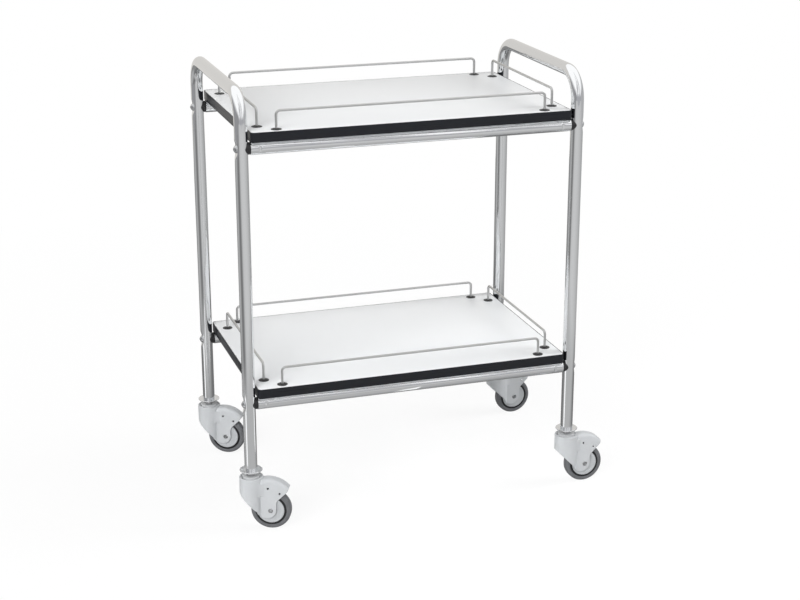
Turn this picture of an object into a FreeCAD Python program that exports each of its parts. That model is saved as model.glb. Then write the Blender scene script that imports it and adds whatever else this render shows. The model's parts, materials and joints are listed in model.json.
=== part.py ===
import FreeCAD
import Part
import Sketcher
import math
import operator
import os

# A two-shelf utility cart: two bent tube end frames, four rails, two boards and four castors.
# Millimetres, +Z up, +X to the right, the front at -Y, the origin on the floor midway between
# the four posts. Front left is at -X and -Y.

SIZES = {
    # end frames
    "tube_diameter": 25.0,
    "tube_wall": 1.5,
    "handle_rise": 68.0,
    "handle_bend": 52.0,
    "post_inset": 15.0,
    # shelves
    "shelf_length": 640.0,
    "shelf_width": 424.0,
    "shelf_thickness": 19.0,
    "shelf_corner": 8.0,
    "upper_shelf_top": 796.0,
    "lower_shelf_top": 291.0,
    "band_thickness": 1.5,
    "board_hole_floor": 3.0,
    # rails and the joints between rails and posts
    "rail_diameter": 25.0,
    "rail_wall": 1.5,
    "saddle_diameter": 23.0,
    "saddle_web": 3.5,
    "insert_length": 26.0,
    "crimp_from_end": 17.5,
    "crimp_tool_radius": 4.0,
    "crimp_depth": 1.5,
    "insert_neck_radius": 8.5,
    "insert_neck_width": 9.0,
    "bolt_diameter": 6.0,
    "bolt_length": 44.0,
    "bolt_head_diameter": 15.0,
    "bolt_head_height": 7.0,
    "bolt_head_rim": 2.5,
    "dent_radius": 25.0,
    "dent_depth": 5.5,
    "screw_diameter": 4.0,
    "screw_grip": 13.0,
    "screw_head_diameter": 8.0,
    "screw_head_height": 2.6,
    "screw_from_end": 120.0,
    # wire galleries
    "wire_diameter": 5.0,
    "wire_bend": 8.0,
    "wire_rise": 35.0,
    "long_gallery_inset": 18.0,
    "long_gallery_leg_inset": 52.0,
    "short_gallery_inset": 23.0,
    "short_gallery_leg_inset": 51.0,
    "grommet_diameter": 20.5,
    "grommet_height": 2.4,
    "grommet_rim": 0.6,
    "grommet_seat": 0.6,
    "grommet_shank_diameter": 9.0,
    # castor stem, disc and socket
    "stem_collar_diameter": 14.0,
    "stem_diameter": 11.0,
    "stem_gap": 12.5,
    "stem_reach": 38.0,
    "stem_foot_diameter": 19.0,
    "stem_foot_height": 4.0,
    "disc_diameter": 45.0,
    "disc_thickness": 2.0,
    "socket_length": 44.0,
    # castor housing
    "castor_trail": 39.0,
    "turret_diameter": 47.5,
    "turret_rise": 1.4,
    "turret_recess_diameter": 40.5,
    "turret_recess_depth": 1.2,
    "turret_rim_round": 1.0,
    "bearing_diameter": 34.0,
    "bearing_sink": 20.3,
    "bearing_rise": 2.5,
    "bearing_bore": 13.1,
    "foot_room_diameter": 20.0,
    "foot_room_depth": 5.3,
    "housing_width": 26.6,
    "housing_wall": 2.4,
    "skirt_lift": 11.2,
    "leg_radius": 19.2,
    "leg_ahead": 7.5,
    "leg_lift": 2.1,
    "leg_rear_height": 12.8,
    "leg_rear_round": 15.0,
    "hood_gap": 14.2,
    "hood_ahead": 4.4,
    "hood_lift": 12.2,
    "hood_round": 7.5,
    "crease_round": 5.0,
    "boss_round": 30.0,
    "boss_lift": 31.0,
    "boss_drop": 10.8,
    "crease_sink": 0.3,
    "hood_thickness": 4.2,
    "beak_reach": 36.8,
    "beak_lip_reach": 33.4,
    "beak_lip_lift": 40.4,
    "well_gap": 4.2,
    "well_from_turret": 3.2,
    "cheek_hole_diameter": 4.2,
    "fore_hole_ahead": 4.3,
    "fore_hole_lift": 47.0,
    "aft_hole_behind": 18.7,
    "aft_hole_lift": 36.8,
    # castor wheel
    "wheel_diameter": 80.0,
    "tyre_width": 20.0,
    "tyre_shoulder": 5.3,
    "rim_diameter": 62.5,
    "rim_width": 18.2,
    "rim_thickness": 4.8,
    "hub_diameter": 23.5,
    "web_thickness": 6.4,
    "bush_diameter": 13.5,
    "bush_bore": 8.1,
    "axle_diameter": 8.0,
    "axle_head_diameter": 10.2,
    "axle_head_height": 1.3,
    "cover_diameter": 53.5,
    "cover_thickness": 1.2,
    "cover_ring_width": 1.5,
    "cover_ring_depth": 3.2,
    # how far each castor trails round from straight to the right, in degrees
    "front_left_swivel": -24.0,
    "front_right_swivel": 0.0,
    "rear_left_swivel": -30.0,
    "rear_right_swivel": 4.0,
    # clearances
    "fit_gap": 0.05,
    "running_gap": 0.3,
    "bolt_hole_gap": 0.25,
}

doc = FreeCAD.newDocument("utility_cart")
sheet = doc.addObject("Spreadsheet::Sheet", "Sizes")
for row, (alias, value) in enumerate(SIZES.items(), start=1):
    sheet.set(f"A{row}", alias.replace("_", " "))
    sheet.set(f"B{row}", str(value))
    sheet.setAlias(f"B{row}", alias)
doc.recompute()

OPERATIONS = {"+": operator.add, "-": operator.sub, "*": operator.mul, "/": operator.truediv}


class Size:
    """A number together with the spreadsheet expression that gives it."""

    def __init__(self, value, text):
        self.value = value
        self.text = text

    def __add__(self, other):
        return combine(self, "+", other)

    def __radd__(self, other):
        return combine(other, "+", self)

    def __sub__(self, other):
        return combine(self, "-", other)

    def __rsub__(self, other):
        return combine(other, "-", self)

    def __mul__(self, other):
        return combine(self, "*", other)

    def __rmul__(self, other):
        return combine(other, "*", self)

    def __truediv__(self, other):
        return combine(self, "/", other)

    def __neg__(self):
        return combine(0, "-", self)


def as_size(number):
    if isinstance(number, Size):
        return number
    return Size(float(number), repr(float(number)))


def combine(left, sign, right):
    left = as_size(left)
    right = as_size(right)
    return Size(OPERATIONS[sign](left.value, right.value), f"({left.text} {sign} {right.text})")


def root(size):
    return Size(math.sqrt(size.value), f"sqrt({size.text})")


def size(alias):
    return Size(float(sheet.get(alias)), f"Sizes.{alias}")


def bind(piece, name, number):
    piece.setExpression(name, as_size(number).text)


def place(piece, position, axis=None, degrees=0.0):
    """Put a piece at a position of sizes, turned by a fixed angle or by a size in degrees."""
    if axis is not None:
        turn = as_size(degrees)
        rotation = FreeCAD.Rotation(FreeCAD.Vector(*axis), turn.value)
        piece.Placement = FreeCAD.Placement(FreeCAD.Vector(), rotation)
        if isinstance(degrees, Size):
            bind(piece, "Placement.Rotation.Angle", turn)
    for letter, number in zip("xyz", position):
        bind(piece, f"Placement.Base.{letter}", number)


X_AXIS = (1, 0, 0)
Y_AXIS = (0, 1, 0)
Z_AXIS = (0, 0, 1)
ALONG_X = (Y_AXIS, 90.0)


def primitive(kind, name, sizes, position, turn=(Z_AXIS, 0.0)):
    piece = doc.addObject(kind, name)
    for key, number in sizes.items():
        bind(piece, key, number)
    place(piece, position, *turn)
    return piece


def cylinder(name, radius, height, position, turn=(Z_AXIS, 0.0)):
    return primitive("Part::Cylinder", name, {"Radius": radius, "Height": height}, position, turn)


def gather(name, pieces):
    group = doc.addObject("Part::Compound", name)
    group.Links = pieces
    return group


def cut(name, base, tools):
    result = doc.addObject("Part::Cut", name)
    result.Base = base
    result.Tool = tools[0] if len(tools) == 1 else gather(name + "_tools", tools)
    return result


def mirror(name, source, normal):
    copy = doc.addObject("Part::Mirroring", name)
    copy.Source = source
    copy.Normal = FreeCAD.Vector(*normal)
    return copy


def four_corners(name, pieces):
    """One group of separate solids: the front left pieces and their mirrored copies."""
    left = gather(name + "_left", pieces)
    right = mirror(name + "_right", left, X_AXIS)
    front = gather(name + "_front", [left, right])
    rear = mirror(name + "_rear", front, Y_AXIS)
    return gather(name, [front, rear])


def new_body(name):
    return doc.addObject("PartDesign::Body", name)


def sketch_on(body, plane, name):
    sketch = body.newObject("Sketcher::SketchObject", name)
    support = next(item for item in body.Origin.OriginFeatures if item.Role == plane)
    sketch.AttachmentSupport = (support, [""])
    sketch.MapMode = "FlatFace"
    return sketch


def pin_point(sketch, geometry, point, across, up):
    """Hold one point of a sketch at its two sizes from the sketch's origin."""
    for kind, number in (("DistanceX", across), ("DistanceY", up)):
        if not isinstance(number, Size) and number == 0:
            axis_line = -2 if kind == "DistanceX" else -1
            sketch.addConstraint(Sketcher.Constraint("PointOnObject", geometry, point, axis_line))
            continue
        number = as_size(number)
        origin_line, origin_point = -1, 1
        constraint = Sketcher.Constraint(kind, origin_line, origin_point, geometry, point, number.value)
        index = sketch.addConstraint(constraint)
        bind(sketch, f"Constraints[{index}]", number)


def set_radius(sketch, geometry, radius):
    index = sketch.addConstraint(Sketcher.Constraint("Radius", geometry, as_size(radius).value))
    bind(sketch, f"Constraints[{index}]", radius)


def draw_circle(sketch, across, up, radius):
    centre = FreeCAD.Vector(as_size(across).value, as_size(up).value, 0)
    normal = FreeCAD.Vector(0, 0, 1)
    geometry = sketch.addGeometry(Part.Circle(centre, normal, as_size(radius).value), False)
    pin_point(sketch, geometry, 3, across, up)
    set_radius(sketch, geometry, radius)


def arc_between(start, end, radius, turn):
    """The short arc of a radius from start to end, turning left or right."""
    chord = end - start
    middle = (start + end) * 0.5
    height = math.sqrt(max(radius ** 2 - chord.Length ** 2 / 4, 0.0))
    side = FreeCAD.Vector(-chord.y, chord.x, 0).normalize()
    centre = middle + side * (height if turn == LEFT else -height)
    first, last = (start, end) if turn == LEFT else (end, start)
    from_angle = math.atan2(first.y - centre.y, first.x - centre.x)
    to_angle = math.atan2(last.y - centre.y, last.x - centre.x)
    circle = Part.Circle(centre, FreeCAD.Vector(0, 0, 1), radius)
    return Part.ArcOfCircle(circle, from_angle, to_angle)


LEFT = "left"
RIGHT = "right"


def draw_path(sketch, corners, closed=True):
    """Draw lines and arcs through corners: (across, up), or (across, up, radius, turn) before an arc."""
    points = [FreeCAD.Vector(as_size(c[0]).value, as_size(c[1]).value, 0) for c in corners]
    count = len(corners)
    ends = []
    for number in range(count if closed else count - 1):
        following = (number + 1) % count
        if len(corners[number]) == 4:
            radius, turn = corners[number][2:]
            arc = arc_between(points[number], points[following], as_size(radius).value, turn)
            geometry = sketch.addGeometry(arc, False)
            set_radius(sketch, geometry, radius)
            ends.append((geometry, 1, 2) if turn == LEFT else (geometry, 2, 1))
        else:
            line = Part.LineSegment(points[number], points[following])
            ends.append((sketch.addGeometry(line, False), 1, 2))
    for number, (geometry, start, end) in enumerate(ends):
        pin_point(sketch, geometry, start, *corners[number][:2])
        if closed or number + 1 < len(ends):
            next_geometry, next_start, _ = ends[(number + 1) % len(ends)]
            joined = Sketcher.Constraint("Coincident", geometry, end, next_geometry, next_start)
            sketch.addConstraint(joined)
        else:
            pin_point(sketch, geometry, end, *corners[-1][:2])


def rounded_corners(length, width, radius):
    """The corners of a rectangle with rounded corners, centred on the sketch's origin."""
    across = length / 2
    up = width / 2
    return [
        (across - radius, -up, radius, LEFT),
        (across, radius - up),
        (across, up - radius, radius, LEFT),
        (across - radius, up),
        (radius - across, up, radius, LEFT),
        (-across, up - radius),
        (-across, radius - up, radius, LEFT),
        (radius - across, -up),
    ]


def pad(body, sketch, length, name, midplane=False):
    feature = body.newObject("PartDesign::Pad", name)
    feature.Profile = sketch
    feature.Midplane = midplane
    bind(feature, "Length", length)
    doc.recompute()
    return feature


def check_cut(feature):
    doc.recompute()
    if feature.Shape.Volume >= feature.BaseFeature.Shape.Volume:
        raise RuntimeError(feature.Name + " cut nothing")
    return feature


def pocket(body, sketch, length, name, midplane=False, reversed_way=False):
    feature = body.newObject("PartDesign::Pocket", name)
    feature.Profile = sketch
    feature.Midplane = midplane
    feature.Reversed = reversed_way
    bind(feature, "Length", length)
    return check_cut(feature)


def fillet(body, base, radius, name, wanted):
    """Round the edges of a feature that pass a test."""
    names = [f"Edge{n}" for n, edge in enumerate(base.Shape.Edges, start=1) if wanted(edge)]
    feature = body.newObject("PartDesign::Fillet", name)
    feature.Base = (base, names)
    bind(feature, "Radius", radius)
    doc.recompute()
    return feature


def turned(name, corners):
    """A body turned on a lathe: a closed half section (radius, height) spun about its own Z axis."""
    body = new_body(name)
    sketch = sketch_on(body, "XZ_Plane", name + "_section")
    draw_path(sketch, corners)
    feature = body.newObject("PartDesign::Revolution", name + "_turn")
    feature.Profile = sketch
    feature.ReferenceAxis = (sketch, ["V_Axis"])
    feature.Angle = 360.0
    doc.recompute()
    return body


def ring(inner, outer, low, high):
    return [(inner, low), (outer, low), (outer, high), (inner, high)]


def swept(name, path, section_radius, start, turn=(Z_AXIS, 0.0)):
    """A round bar along a path sketch, starting at a position of sizes."""
    section = primitive("Part::Circle", name + "_section", {"Radius": section_radius}, start, turn)
    doc.recompute()
    bar = doc.addObject("Part::Sweep", name)
    bar.Sections = [section]
    bar.Spine = (path, [f"Edge{n}" for n in range(1, len(path.Shape.Edges) + 1)])
    bar.Solid = True
    doc.recompute()
    return bar


def standing_path(name, corners, position, along_x):
    """An open path in an upright plane that runs along X or along Y."""
    path = doc.addObject("Sketcher::SketchObject", name)
    draw_path(path, corners, closed=False)
    upright = FreeCAD.Rotation(FreeCAD.Vector(1, 0, 0), 90)
    sideways = FreeCAD.Rotation(FreeCAD.Vector(0, 0, 1), 0 if along_x else 90)
    path.Placement = FreeCAD.Placement(FreeCAD.Vector(), sideways * upright)
    for letter, number in zip("xyz", position):
        bind(path, f"Placement.Base.{letter}", number)
    doc.recompute()
    return path


def hairpin(half_width, low, high, bend):
    """An upturned U: up one leg, over two bends and down the other leg."""
    return [
        (-half_width, low),
        (-half_width, high - bend, bend, RIGHT),
        (bend - half_width, high),
        (half_width - bend, high, bend, RIGHT),
        (half_width, high - bend),
        (half_width, low),
    ]


nodes = []


def keep(piece):
    nodes.append(piece)
    return piece


# Levels and places that several pieces share

fit_gap = size("fit_gap")
running_gap = size("running_gap")
tube_radius = size("tube_diameter") / 2
rail_radius = size("rail_diameter") / 2
bolt_radius = size("bolt_diameter") / 2
bolt_hole_radius = bolt_radius + size("bolt_hole_gap")
half_length = size("shelf_length") / 2
half_width = size("shelf_width") / 2
post_x = half_length + size("saddle_web") + tube_radius
post_y = half_width - size("post_inset")

axle_height = size("wheel_diameter") / 2
hood_radius = axle_height + size("hood_gap")
turret_top = axle_height + size("hood_lift") + hood_radius + size("turret_rise")
disc_bottom = turret_top + size("stem_gap")
tube_foot = disc_bottom + size("disc_thickness")
recess_floor = turret_top - size("turret_recess_depth")
bearing_top = turret_top + size("bearing_rise")
bearing_bottom = recess_floor - size("bearing_sink")

shelf_tops = {"upper": size("upper_shelf_top"), "lower": size("lower_shelf_top")}
handle_height = shelf_tops["upper"] + size("handle_rise")
shelf_bottoms = {level: top - size("shelf_thickness") for level, top in shelf_tops.items()}
rail_heights = {level: bottom - rail_radius for level, bottom in shelf_bottoms.items()}

# End frames: one bent tube each, two posts and a handle, dented where the bolt heads sit

dent_radius = size("dent_radius")
dent_centre_x = -(post_x + tube_radius + dent_radius - size("dent_depth"))

frame_path = standing_path(
    "end_frame_path",
    hairpin(post_y, tube_foot, handle_height, size("handle_bend")),
    (-post_x, 0, 0),
    along_x=False,
)
frame_start = (-post_x, -post_y, tube_foot)
frame_outer = swept("end_frame_outer", frame_path, tube_radius, frame_start)
frame_bore = swept("end_frame_bore", frame_path, tube_radius - size("tube_wall"), frame_start)

dents = []
dent_backs = []
bolt_holes = []
for level, rail_height in rail_heights.items():
    for side, across in (("front", -post_y), ("rear", post_y)):
        mark = f"{level}_{side}"
        centre = (dent_centre_x, across, rail_height)
        back_radius = dent_radius + size("tube_wall")
        dents.append(primitive("Part::Sphere", f"dent_{mark}", {"Radius": dent_radius}, centre))
        dent_backs.append(primitive("Part::Sphere", f"dent_back_{mark}", {"Radius": back_radius}, centre))
        hole_start = (-(post_x + tube_radius), across, rail_height)
        hole_length = tube_radius * 2
        bolt_holes.append(cylinder(f"bolt_hole_{mark}", bolt_hole_radius, hole_length, hole_start, ALONG_X))

dented_outer = cut("end_frame_dented", frame_outer, dents)
dented_bore = cut("end_frame_dented_bore", frame_bore, dent_backs)
frame_tube = cut("end_frame_tube", dented_outer, [dented_bore])
left_frame = keep(cut("left_end_frame", frame_tube, bolt_holes))
keep(mirror("right_end_frame", left_frame, X_AXIS))

# Rails: a tube under each long edge of a shelf, crimped near its ends onto the inserts

crimp_x = half_length - size("crimp_from_end")
crimp_tool_radius = size("crimp_tool_radius")
crimp_offset = rail_radius + crimp_tool_radius - size("crimp_depth")
screw_x = half_length - size("screw_from_end")
screw_radius = size("screw_diameter") / 2
screw_head_radius = size("screw_head_diameter") / 2

for level, rail_height in rail_heights.items():
    name = f"{level}_front_rail"
    start = (-half_length, -post_y, rail_height)
    tube = cylinder(name + "_outer", rail_radius, half_length * 2, start, ALONG_X)
    bore = cylinder(name + "_bore", rail_radius - size("rail_wall"), half_length * 2, start, ALONG_X)
    crimps = []
    crimp_backs = []
    screw_holes = []
    for end, across in (("left", -crimp_x), ("right", crimp_x)):
        for face, offset in (("front", -crimp_offset), ("rear", crimp_offset)):
            mark = f"{name}_{end}_{face}"
            base = (across, offset - post_y, rail_height - rail_radius)
            tall = rail_radius * 2
            crimps.append(cylinder(mark + "_crimp", crimp_tool_radius, tall, base))
            back_radius = crimp_tool_radius + size("rail_wall")
            crimp_backs.append(cylinder(mark + "_crimp_back", back_radius, tall, base))
    for end, across in (("left", -screw_x), ("right", screw_x)):
        middle = (across, -post_y, rail_height)
        hole_radius = screw_radius + size("bolt_hole_gap")
        screw_holes.append(cylinder(f"{name}_{end}_screw_hole", hole_radius, rail_radius, middle))
        base = (across, -post_y, rail_height - rail_radius)
        access_radius = screw_head_radius + size("bolt_hole_gap")
        screw_holes.append(cylinder(f"{name}_{end}_access_hole", access_radius, rail_radius, base))
    crimped = cut(name + "_crimped", tube, crimps)
    crimped_bore = cut(name + "_crimped_bore", bore, crimp_backs)
    open_tube = cut(name + "_tube", crimped, [crimped_bore])
    front_rail = keep(cut(name, open_tube, screw_holes))
    keep(mirror(f"{level}_rear_rail", front_rail, Y_AXIS))

# Rail inserts: threaded plugs in the rail ends, with a neck that the crimps grip

insert_radius = rail_radius - size("rail_wall") - fit_gap
neck_radius = size("insert_neck_radius")
neck_start = size("crimp_from_end") - size("insert_neck_width") / 2
neck_end = size("crimp_from_end") + size("insert_neck_width") / 2
thread_radius = bolt_radius + fit_gap
inserts = []
for level, rail_height in rail_heights.items():
    insert = turned(
        f"{level}_insert",
        [
            (thread_radius, 0),
            (insert_radius, 0),
            (insert_radius, neck_start),
            (neck_radius, neck_start),
            (neck_radius, neck_end),
            (insert_radius, neck_end),
            (insert_radius, size("insert_length")),
            (thread_radius, size("insert_length")),
        ],
    )
    place(insert, (-half_length, -post_y, rail_height), *ALONG_X)
    inserts.append(insert)
keep(four_corners("rail_inserts", inserts))

# Post saddles: round black plugs between rail and post, hollowed to sit against the post

saddles = []
for level, rail_height in rail_heights.items():
    name = f"{level}_saddle"
    start = (-post_x, -post_y, rail_height)
    blank_length = post_x - half_length
    blank = cylinder(name + "_blank", size("saddle_diameter") / 2, blank_length, start, ALONG_X)
    post_base = (-post_x, -post_y, rail_height - tube_radius)
    post = cylinder(name + "_post", tube_radius + fit_gap, tube_radius * 2, post_base)
    hole = cylinder(name + "_hole", bolt_hole_radius, blank_length, start, ALONG_X)
    saddles.append(cut(name, blank, [post, hole]))
keep(four_corners("post_saddles", saddles))

# Frame bolts: domed heads in the posts' dents, shanks through post and saddle into the inserts

head_radius = size("bolt_head_diameter") / 2
head_rise = size("bolt_head_height") - size("bolt_head_rim")
dome_radius = (head_radius * head_radius + head_rise * head_rise) / (head_rise * 2)
seat_rise = dent_radius - root(dent_radius * dent_radius - head_radius * head_radius)
head_seat = post_x + tube_radius - size("dent_depth") + seat_rise
bolts = []
for level, rail_height in rail_heights.items():
    bolt = turned(
        f"{level}_bolt",
        [
            (0, -size("bolt_head_height"), dome_radius, LEFT),
            (head_radius, -size("bolt_head_rim")),
            (head_radius, 0),
            (bolt_radius, 0),
            (bolt_radius, size("bolt_length")),
            (0, size("bolt_length")),
        ],
    )
    place(bolt, (-head_seat, -post_y, rail_height), *ALONG_X)
    bolts.append(bolt)
keep(four_corners("frame_bolts", bolts))

# Shelves: a laminated board with a black band round its edge

long_gallery_y = half_width - size("long_gallery_inset")
long_gallery_x = half_length - size("long_gallery_leg_inset")
short_gallery_x = half_length - size("short_gallery_inset")
short_gallery_y = half_width - size("short_gallery_leg_inset")
leg_places = [(long_gallery_x, long_gallery_y), (short_gallery_x, short_gallery_y)]
shank_radius = size("grommet_shank_diameter") / 2
grommet_radius = size("grommet_diameter") / 2
hole_depth = size("shelf_thickness") - size("board_hole_floor")
band = size("band_thickness")
board_length = half_length * 2 - band * 2
board_width = half_width * 2 - band * 2
board_corners = rounded_corners(board_length, board_width, size("shelf_corner") - band)
band_corners = rounded_corners(half_length * 2, half_width * 2, size("shelf_corner"))
SIGNS = [(sx, sy) for sx in (-1, 1) for sy in (-1, 1)]

for level, bottom in shelf_bottoms.items():
    board = new_body(f"{level}_shelf_board")
    outline = sketch_on(board, "XY_Plane", f"{level}_board_outline")
    draw_path(outline, board_corners)
    pad(board, outline, size("shelf_thickness"), f"{level}_board_pad")
    leg_holes = sketch_on(board, "XY_Plane", f"{level}_leg_holes")
    bind(leg_holes, "AttachmentOffset.Base.z", size("shelf_thickness"))
    for across, up in leg_places:
        for sx, sy in SIGNS:
            draw_circle(leg_holes, across * sx, up * sy, shank_radius + fit_gap)
    pocket(board, leg_holes, hole_depth, f"{level}_leg_pocket")
    seats = sketch_on(board, "XY_Plane", f"{level}_grommet_seats")
    bind(seats, "AttachmentOffset.Base.z", size("shelf_thickness"))
    for across, up in leg_places:
        for sx, sy in SIGNS:
            draw_circle(seats, across * sx, up * sy, grommet_radius + fit_gap)
    pocket(board, seats, size("grommet_seat"), f"{level}_seat_pocket")
    pilot_holes = sketch_on(board, "XY_Plane", f"{level}_pilot_holes")
    for sx, sy in SIGNS:
        draw_circle(pilot_holes, screw_x * sx, post_y * sy, screw_radius + fit_gap)
    pilot_depth = size("screw_grip") + running_gap
    pocket(board, pilot_holes, pilot_depth, f"{level}_pilot_pocket", reversed_way=True)
    place(board, (0, 0, bottom))
    keep(board)

    edge = new_body(f"{level}_edge_band")
    section = sketch_on(edge, "XY_Plane", f"{level}_band_outline")
    draw_path(section, band_corners)
    draw_path(section, board_corners)
    pad(edge, section, size("shelf_thickness"), f"{level}_band_pad")
    place(edge, (0, 0, bottom))
    keep(edge)

# Shelf screws: heads inside the rails, reached from below, shanks up into the boards

rail_inside = rail_radius - size("rail_wall")
screw_seat = root(rail_inside * rail_inside - screw_head_radius * screw_head_radius) - fit_gap
screw_shank = rail_radius - screw_seat + size("screw_grip")
for level, rail_height in rail_heights.items():
    screw = turned(
        f"{level}_screw",
        [
            (0, -size("screw_head_height")),
            (screw_head_radius, -size("screw_head_height")),
            (screw_head_radius, 0),
            (screw_radius, 0),
            (screw_radius, screw_shank),
            (0, screw_shank),
        ],
    )
    place(screw, (-screw_x, -post_y, rail_height + screw_seat))
    keep(four_corners(f"{level}_shelf_screws", [screw]))

# Galleries: a bent wire along each edge of each shelf, its legs in grommets

wire_radius = size("wire_diameter") / 2
leg_depth = hole_depth - running_gap
for level, top in shelf_tops.items():
    low = top - leg_depth
    high = top + size("wire_rise")
    front_name = f"{level}_front_gallery"
    front_path = standing_path(
        front_name + "_path",
        hairpin(long_gallery_x, low, high, size("wire_bend")),
        (0, -long_gallery_y, 0),
        along_x=True,
    )
    front = keep(swept(front_name, front_path, wire_radius, (-long_gallery_x, -long_gallery_y, low)))
    keep(mirror(f"{level}_rear_gallery", front, Y_AXIS))
    left_name = f"{level}_left_gallery"
    left_path = standing_path(
        left_name + "_path",
        hairpin(short_gallery_y, low, high, size("wire_bend")),
        (-short_gallery_x, 0, 0),
        along_x=False,
    )
    left = keep(swept(left_name, left_path, wire_radius, (-short_gallery_x, -short_gallery_y, low)))
    keep(mirror(f"{level}_right_gallery", left, X_AXIS))

# Grommets: low black domes in shallow seats in the shelf, each with a shank round the wire's leg

grommet_rise = size("grommet_height") - size("grommet_rim")
dome_span = grommet_radius - wire_radius - fit_gap
grommet_dome = (dome_span * dome_span + grommet_rise * grommet_rise) / (grommet_rise * 2)
for level, top in shelf_tops.items():
    grommets = []
    for mark, (across, up) in zip(("long", "short"), leg_places):
        grommet = turned(
            f"{level}_{mark}_grommet",
            [
                (wire_radius + fit_gap, -leg_depth),
                (shank_radius, -leg_depth),
                (shank_radius, -size("grommet_seat")),
                (grommet_radius, -size("grommet_seat")),
                (grommet_radius, size("grommet_rim"), grommet_dome, LEFT),
                (wire_radius + fit_gap, size("grommet_height")),
            ],
        )
        place(grommet, (-across, -up, top))
        grommets.append(grommet)
    keep(four_corners(f"{level}_gallery_grommets", grommets))

# Castor sockets, discs and stems: plugged into the posts' feet and fixed to the frame

stem_radius = size("stem_diameter") / 2
collar_radius = size("stem_collar_diameter") / 2
pivot_radius = size("bearing_bore") / 2 - fit_gap
stem_foot_radius = size("stem_foot_diameter") / 2
socket = turned(
    "castor_socket",
    ring(stem_radius + fit_gap, tube_radius - size("tube_wall") - fit_gap, 0, size("socket_length")),
)
place(socket, (-post_x, -post_y, tube_foot))
keep(four_corners("castor_sockets", [socket]))

disc = turned(
    "castor_disc",
    ring(stem_radius + fit_gap, size("disc_diameter") / 2, 0, size("disc_thickness")),
)
place(disc, (-post_x, -post_y, disc_bottom))
keep(four_corners("castor_discs", [disc]))

stem_foot_top = bearing_bottom - running_gap
stem = turned(
    "castor_stem",
    [
        (0, stem_foot_top - size("stem_foot_height")),
        (stem_foot_radius, stem_foot_top - size("stem_foot_height")),
        (stem_foot_radius, stem_foot_top),
        (pivot_radius, stem_foot_top),
        (pivot_radius, bearing_top + running_gap),
        (collar_radius, bearing_top + running_gap),
        (collar_radius, disc_bottom),
        (stem_radius, disc_bottom),
        (stem_radius, tube_foot + size("stem_reach")),
        (0, tube_foot + size("stem_reach")),
    ],
)
place(stem, (-post_x, -post_y, 0))
keep(four_corners("castor_stems", [stem]))

# Castor housing: a moulded turret that runs down into a skirt, two cheeks and a hood over the wheel.
# Its own X runs from the swivel axis towards the wheel, and its Y is the wheel's axle.

trail = size("castor_trail")
turret_radius = size("turret_diameter") / 2
half_housing = size("housing_width") / 2
half_well = half_housing - size("housing_wall")
hood_x = trail - size("hood_ahead")
hood_z = axle_height + size("hood_lift")
leg_x = trail - size("leg_ahead")
leg_z = axle_height + size("leg_lift")
leg_radius = size("leg_radius")
skirt_level = axle_height + size("skirt_lift")


def hood_height(across, radius):
    return hood_z + root(radius * radius - (across - hood_x) * (across - hood_x))


# The skirt's lower edge falls at 45 degrees and meets the leg's round bottom
leg_off_line = (leg_x + leg_z - skirt_level) / math.sqrt(2)
half_chord = root(leg_radius * leg_radius - leg_off_line * leg_off_line)
skirt_end_x = leg_x - (leg_off_line + half_chord) / math.sqrt(2)
skirt_end_z = skirt_level - skirt_end_x

# The cheek's rear edge is upright, then leans back at 45 degrees to the beak's lip
leg_rear_x = leg_x + leg_radius
leg_rear_z = axle_height + size("leg_rear_height")
lean_round = size("leg_rear_round")
lean_start_x = leg_rear_x + lean_round * (1 - math.cos(math.pi / 4))
lean_start_z = leg_rear_z + lean_round * math.sin(math.pi / 4)
beak_x = trail + size("beak_reach")
lip_x = trail + size("beak_lip_reach")
lip_z = axle_height + size("beak_lip_lift")

cheek_outline = [
    (0, skirt_level),
    (skirt_end_x, skirt_end_z, leg_radius, LEFT),
    (leg_x, leg_z - leg_radius, leg_radius, LEFT),
    (leg_rear_x, leg_z),
    (leg_rear_x, leg_rear_z, lean_round, RIGHT),
    (lean_start_x, lean_start_z),
    (lip_x, lip_z),
    (beak_x, hood_height(beak_x, hood_radius), hood_radius, LEFT),
    (0, hood_height(as_size(0), hood_radius)),
]
skirt_outline = [
    (-turret_radius * 2, skirt_level + turret_radius * 2),
    (-turret_radius * 2, 0),
    (leg_x, 0),
    (leg_x, leg_z - leg_radius, leg_radius, RIGHT),
    (skirt_end_x, skirt_end_z),
]
inner_hood = hood_radius - size("hood_thickness")
well_start = turret_radius + size("well_from_turret")
well_outline = [
    (well_start, axle_height),
    (beak_x + turret_radius, axle_height),
    (beak_x + turret_radius, lip_z),
    (lip_x, lip_z),
    (lip_x, hood_height(lip_x, inner_hood), inner_hood, LEFT),
    (well_start, hood_height(well_start, inner_hood)),
]
seat_section = [
    (0, turret_top + size("turret_rise")),
    (0, bearing_bottom - size("foot_room_depth")),
    (size("foot_room_diameter") / 2, bearing_bottom - size("foot_room_depth")),
    (size("foot_room_diameter") / 2, bearing_bottom),
    (size("bearing_diameter") / 2, bearing_bottom),
    (size("bearing_diameter") / 2, recess_floor),
    (size("turret_recess_diameter") / 2, recess_floor),
    (size("turret_recess_diameter") / 2, turret_top + size("turret_rise")),
]
through = turret_radius * 4
boss_bottom = axle_height + size("boss_lift")
boss_top = turret_top - size("boss_drop")


def neck_outline(bend):
    """The turret's circle seen from above, running into the two cheeks with a hollow bend on each side."""
    half = half_housing - size("crease_sink")
    reach = turret_radius + bend
    end_x = root(reach * reach - (half + bend) * (half + bend))
    start_x = end_x * turret_radius / reach
    start_y = (half + bend) * turret_radius / reach
    return [
        (end_x, -half),
        (end_x, half, bend, RIGHT),
        (start_x, start_y, turret_radius, LEFT),
        (-turret_radius, 0, turret_radius, LEFT),
        (start_x, -start_y, bend, RIGHT),
    ]


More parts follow.
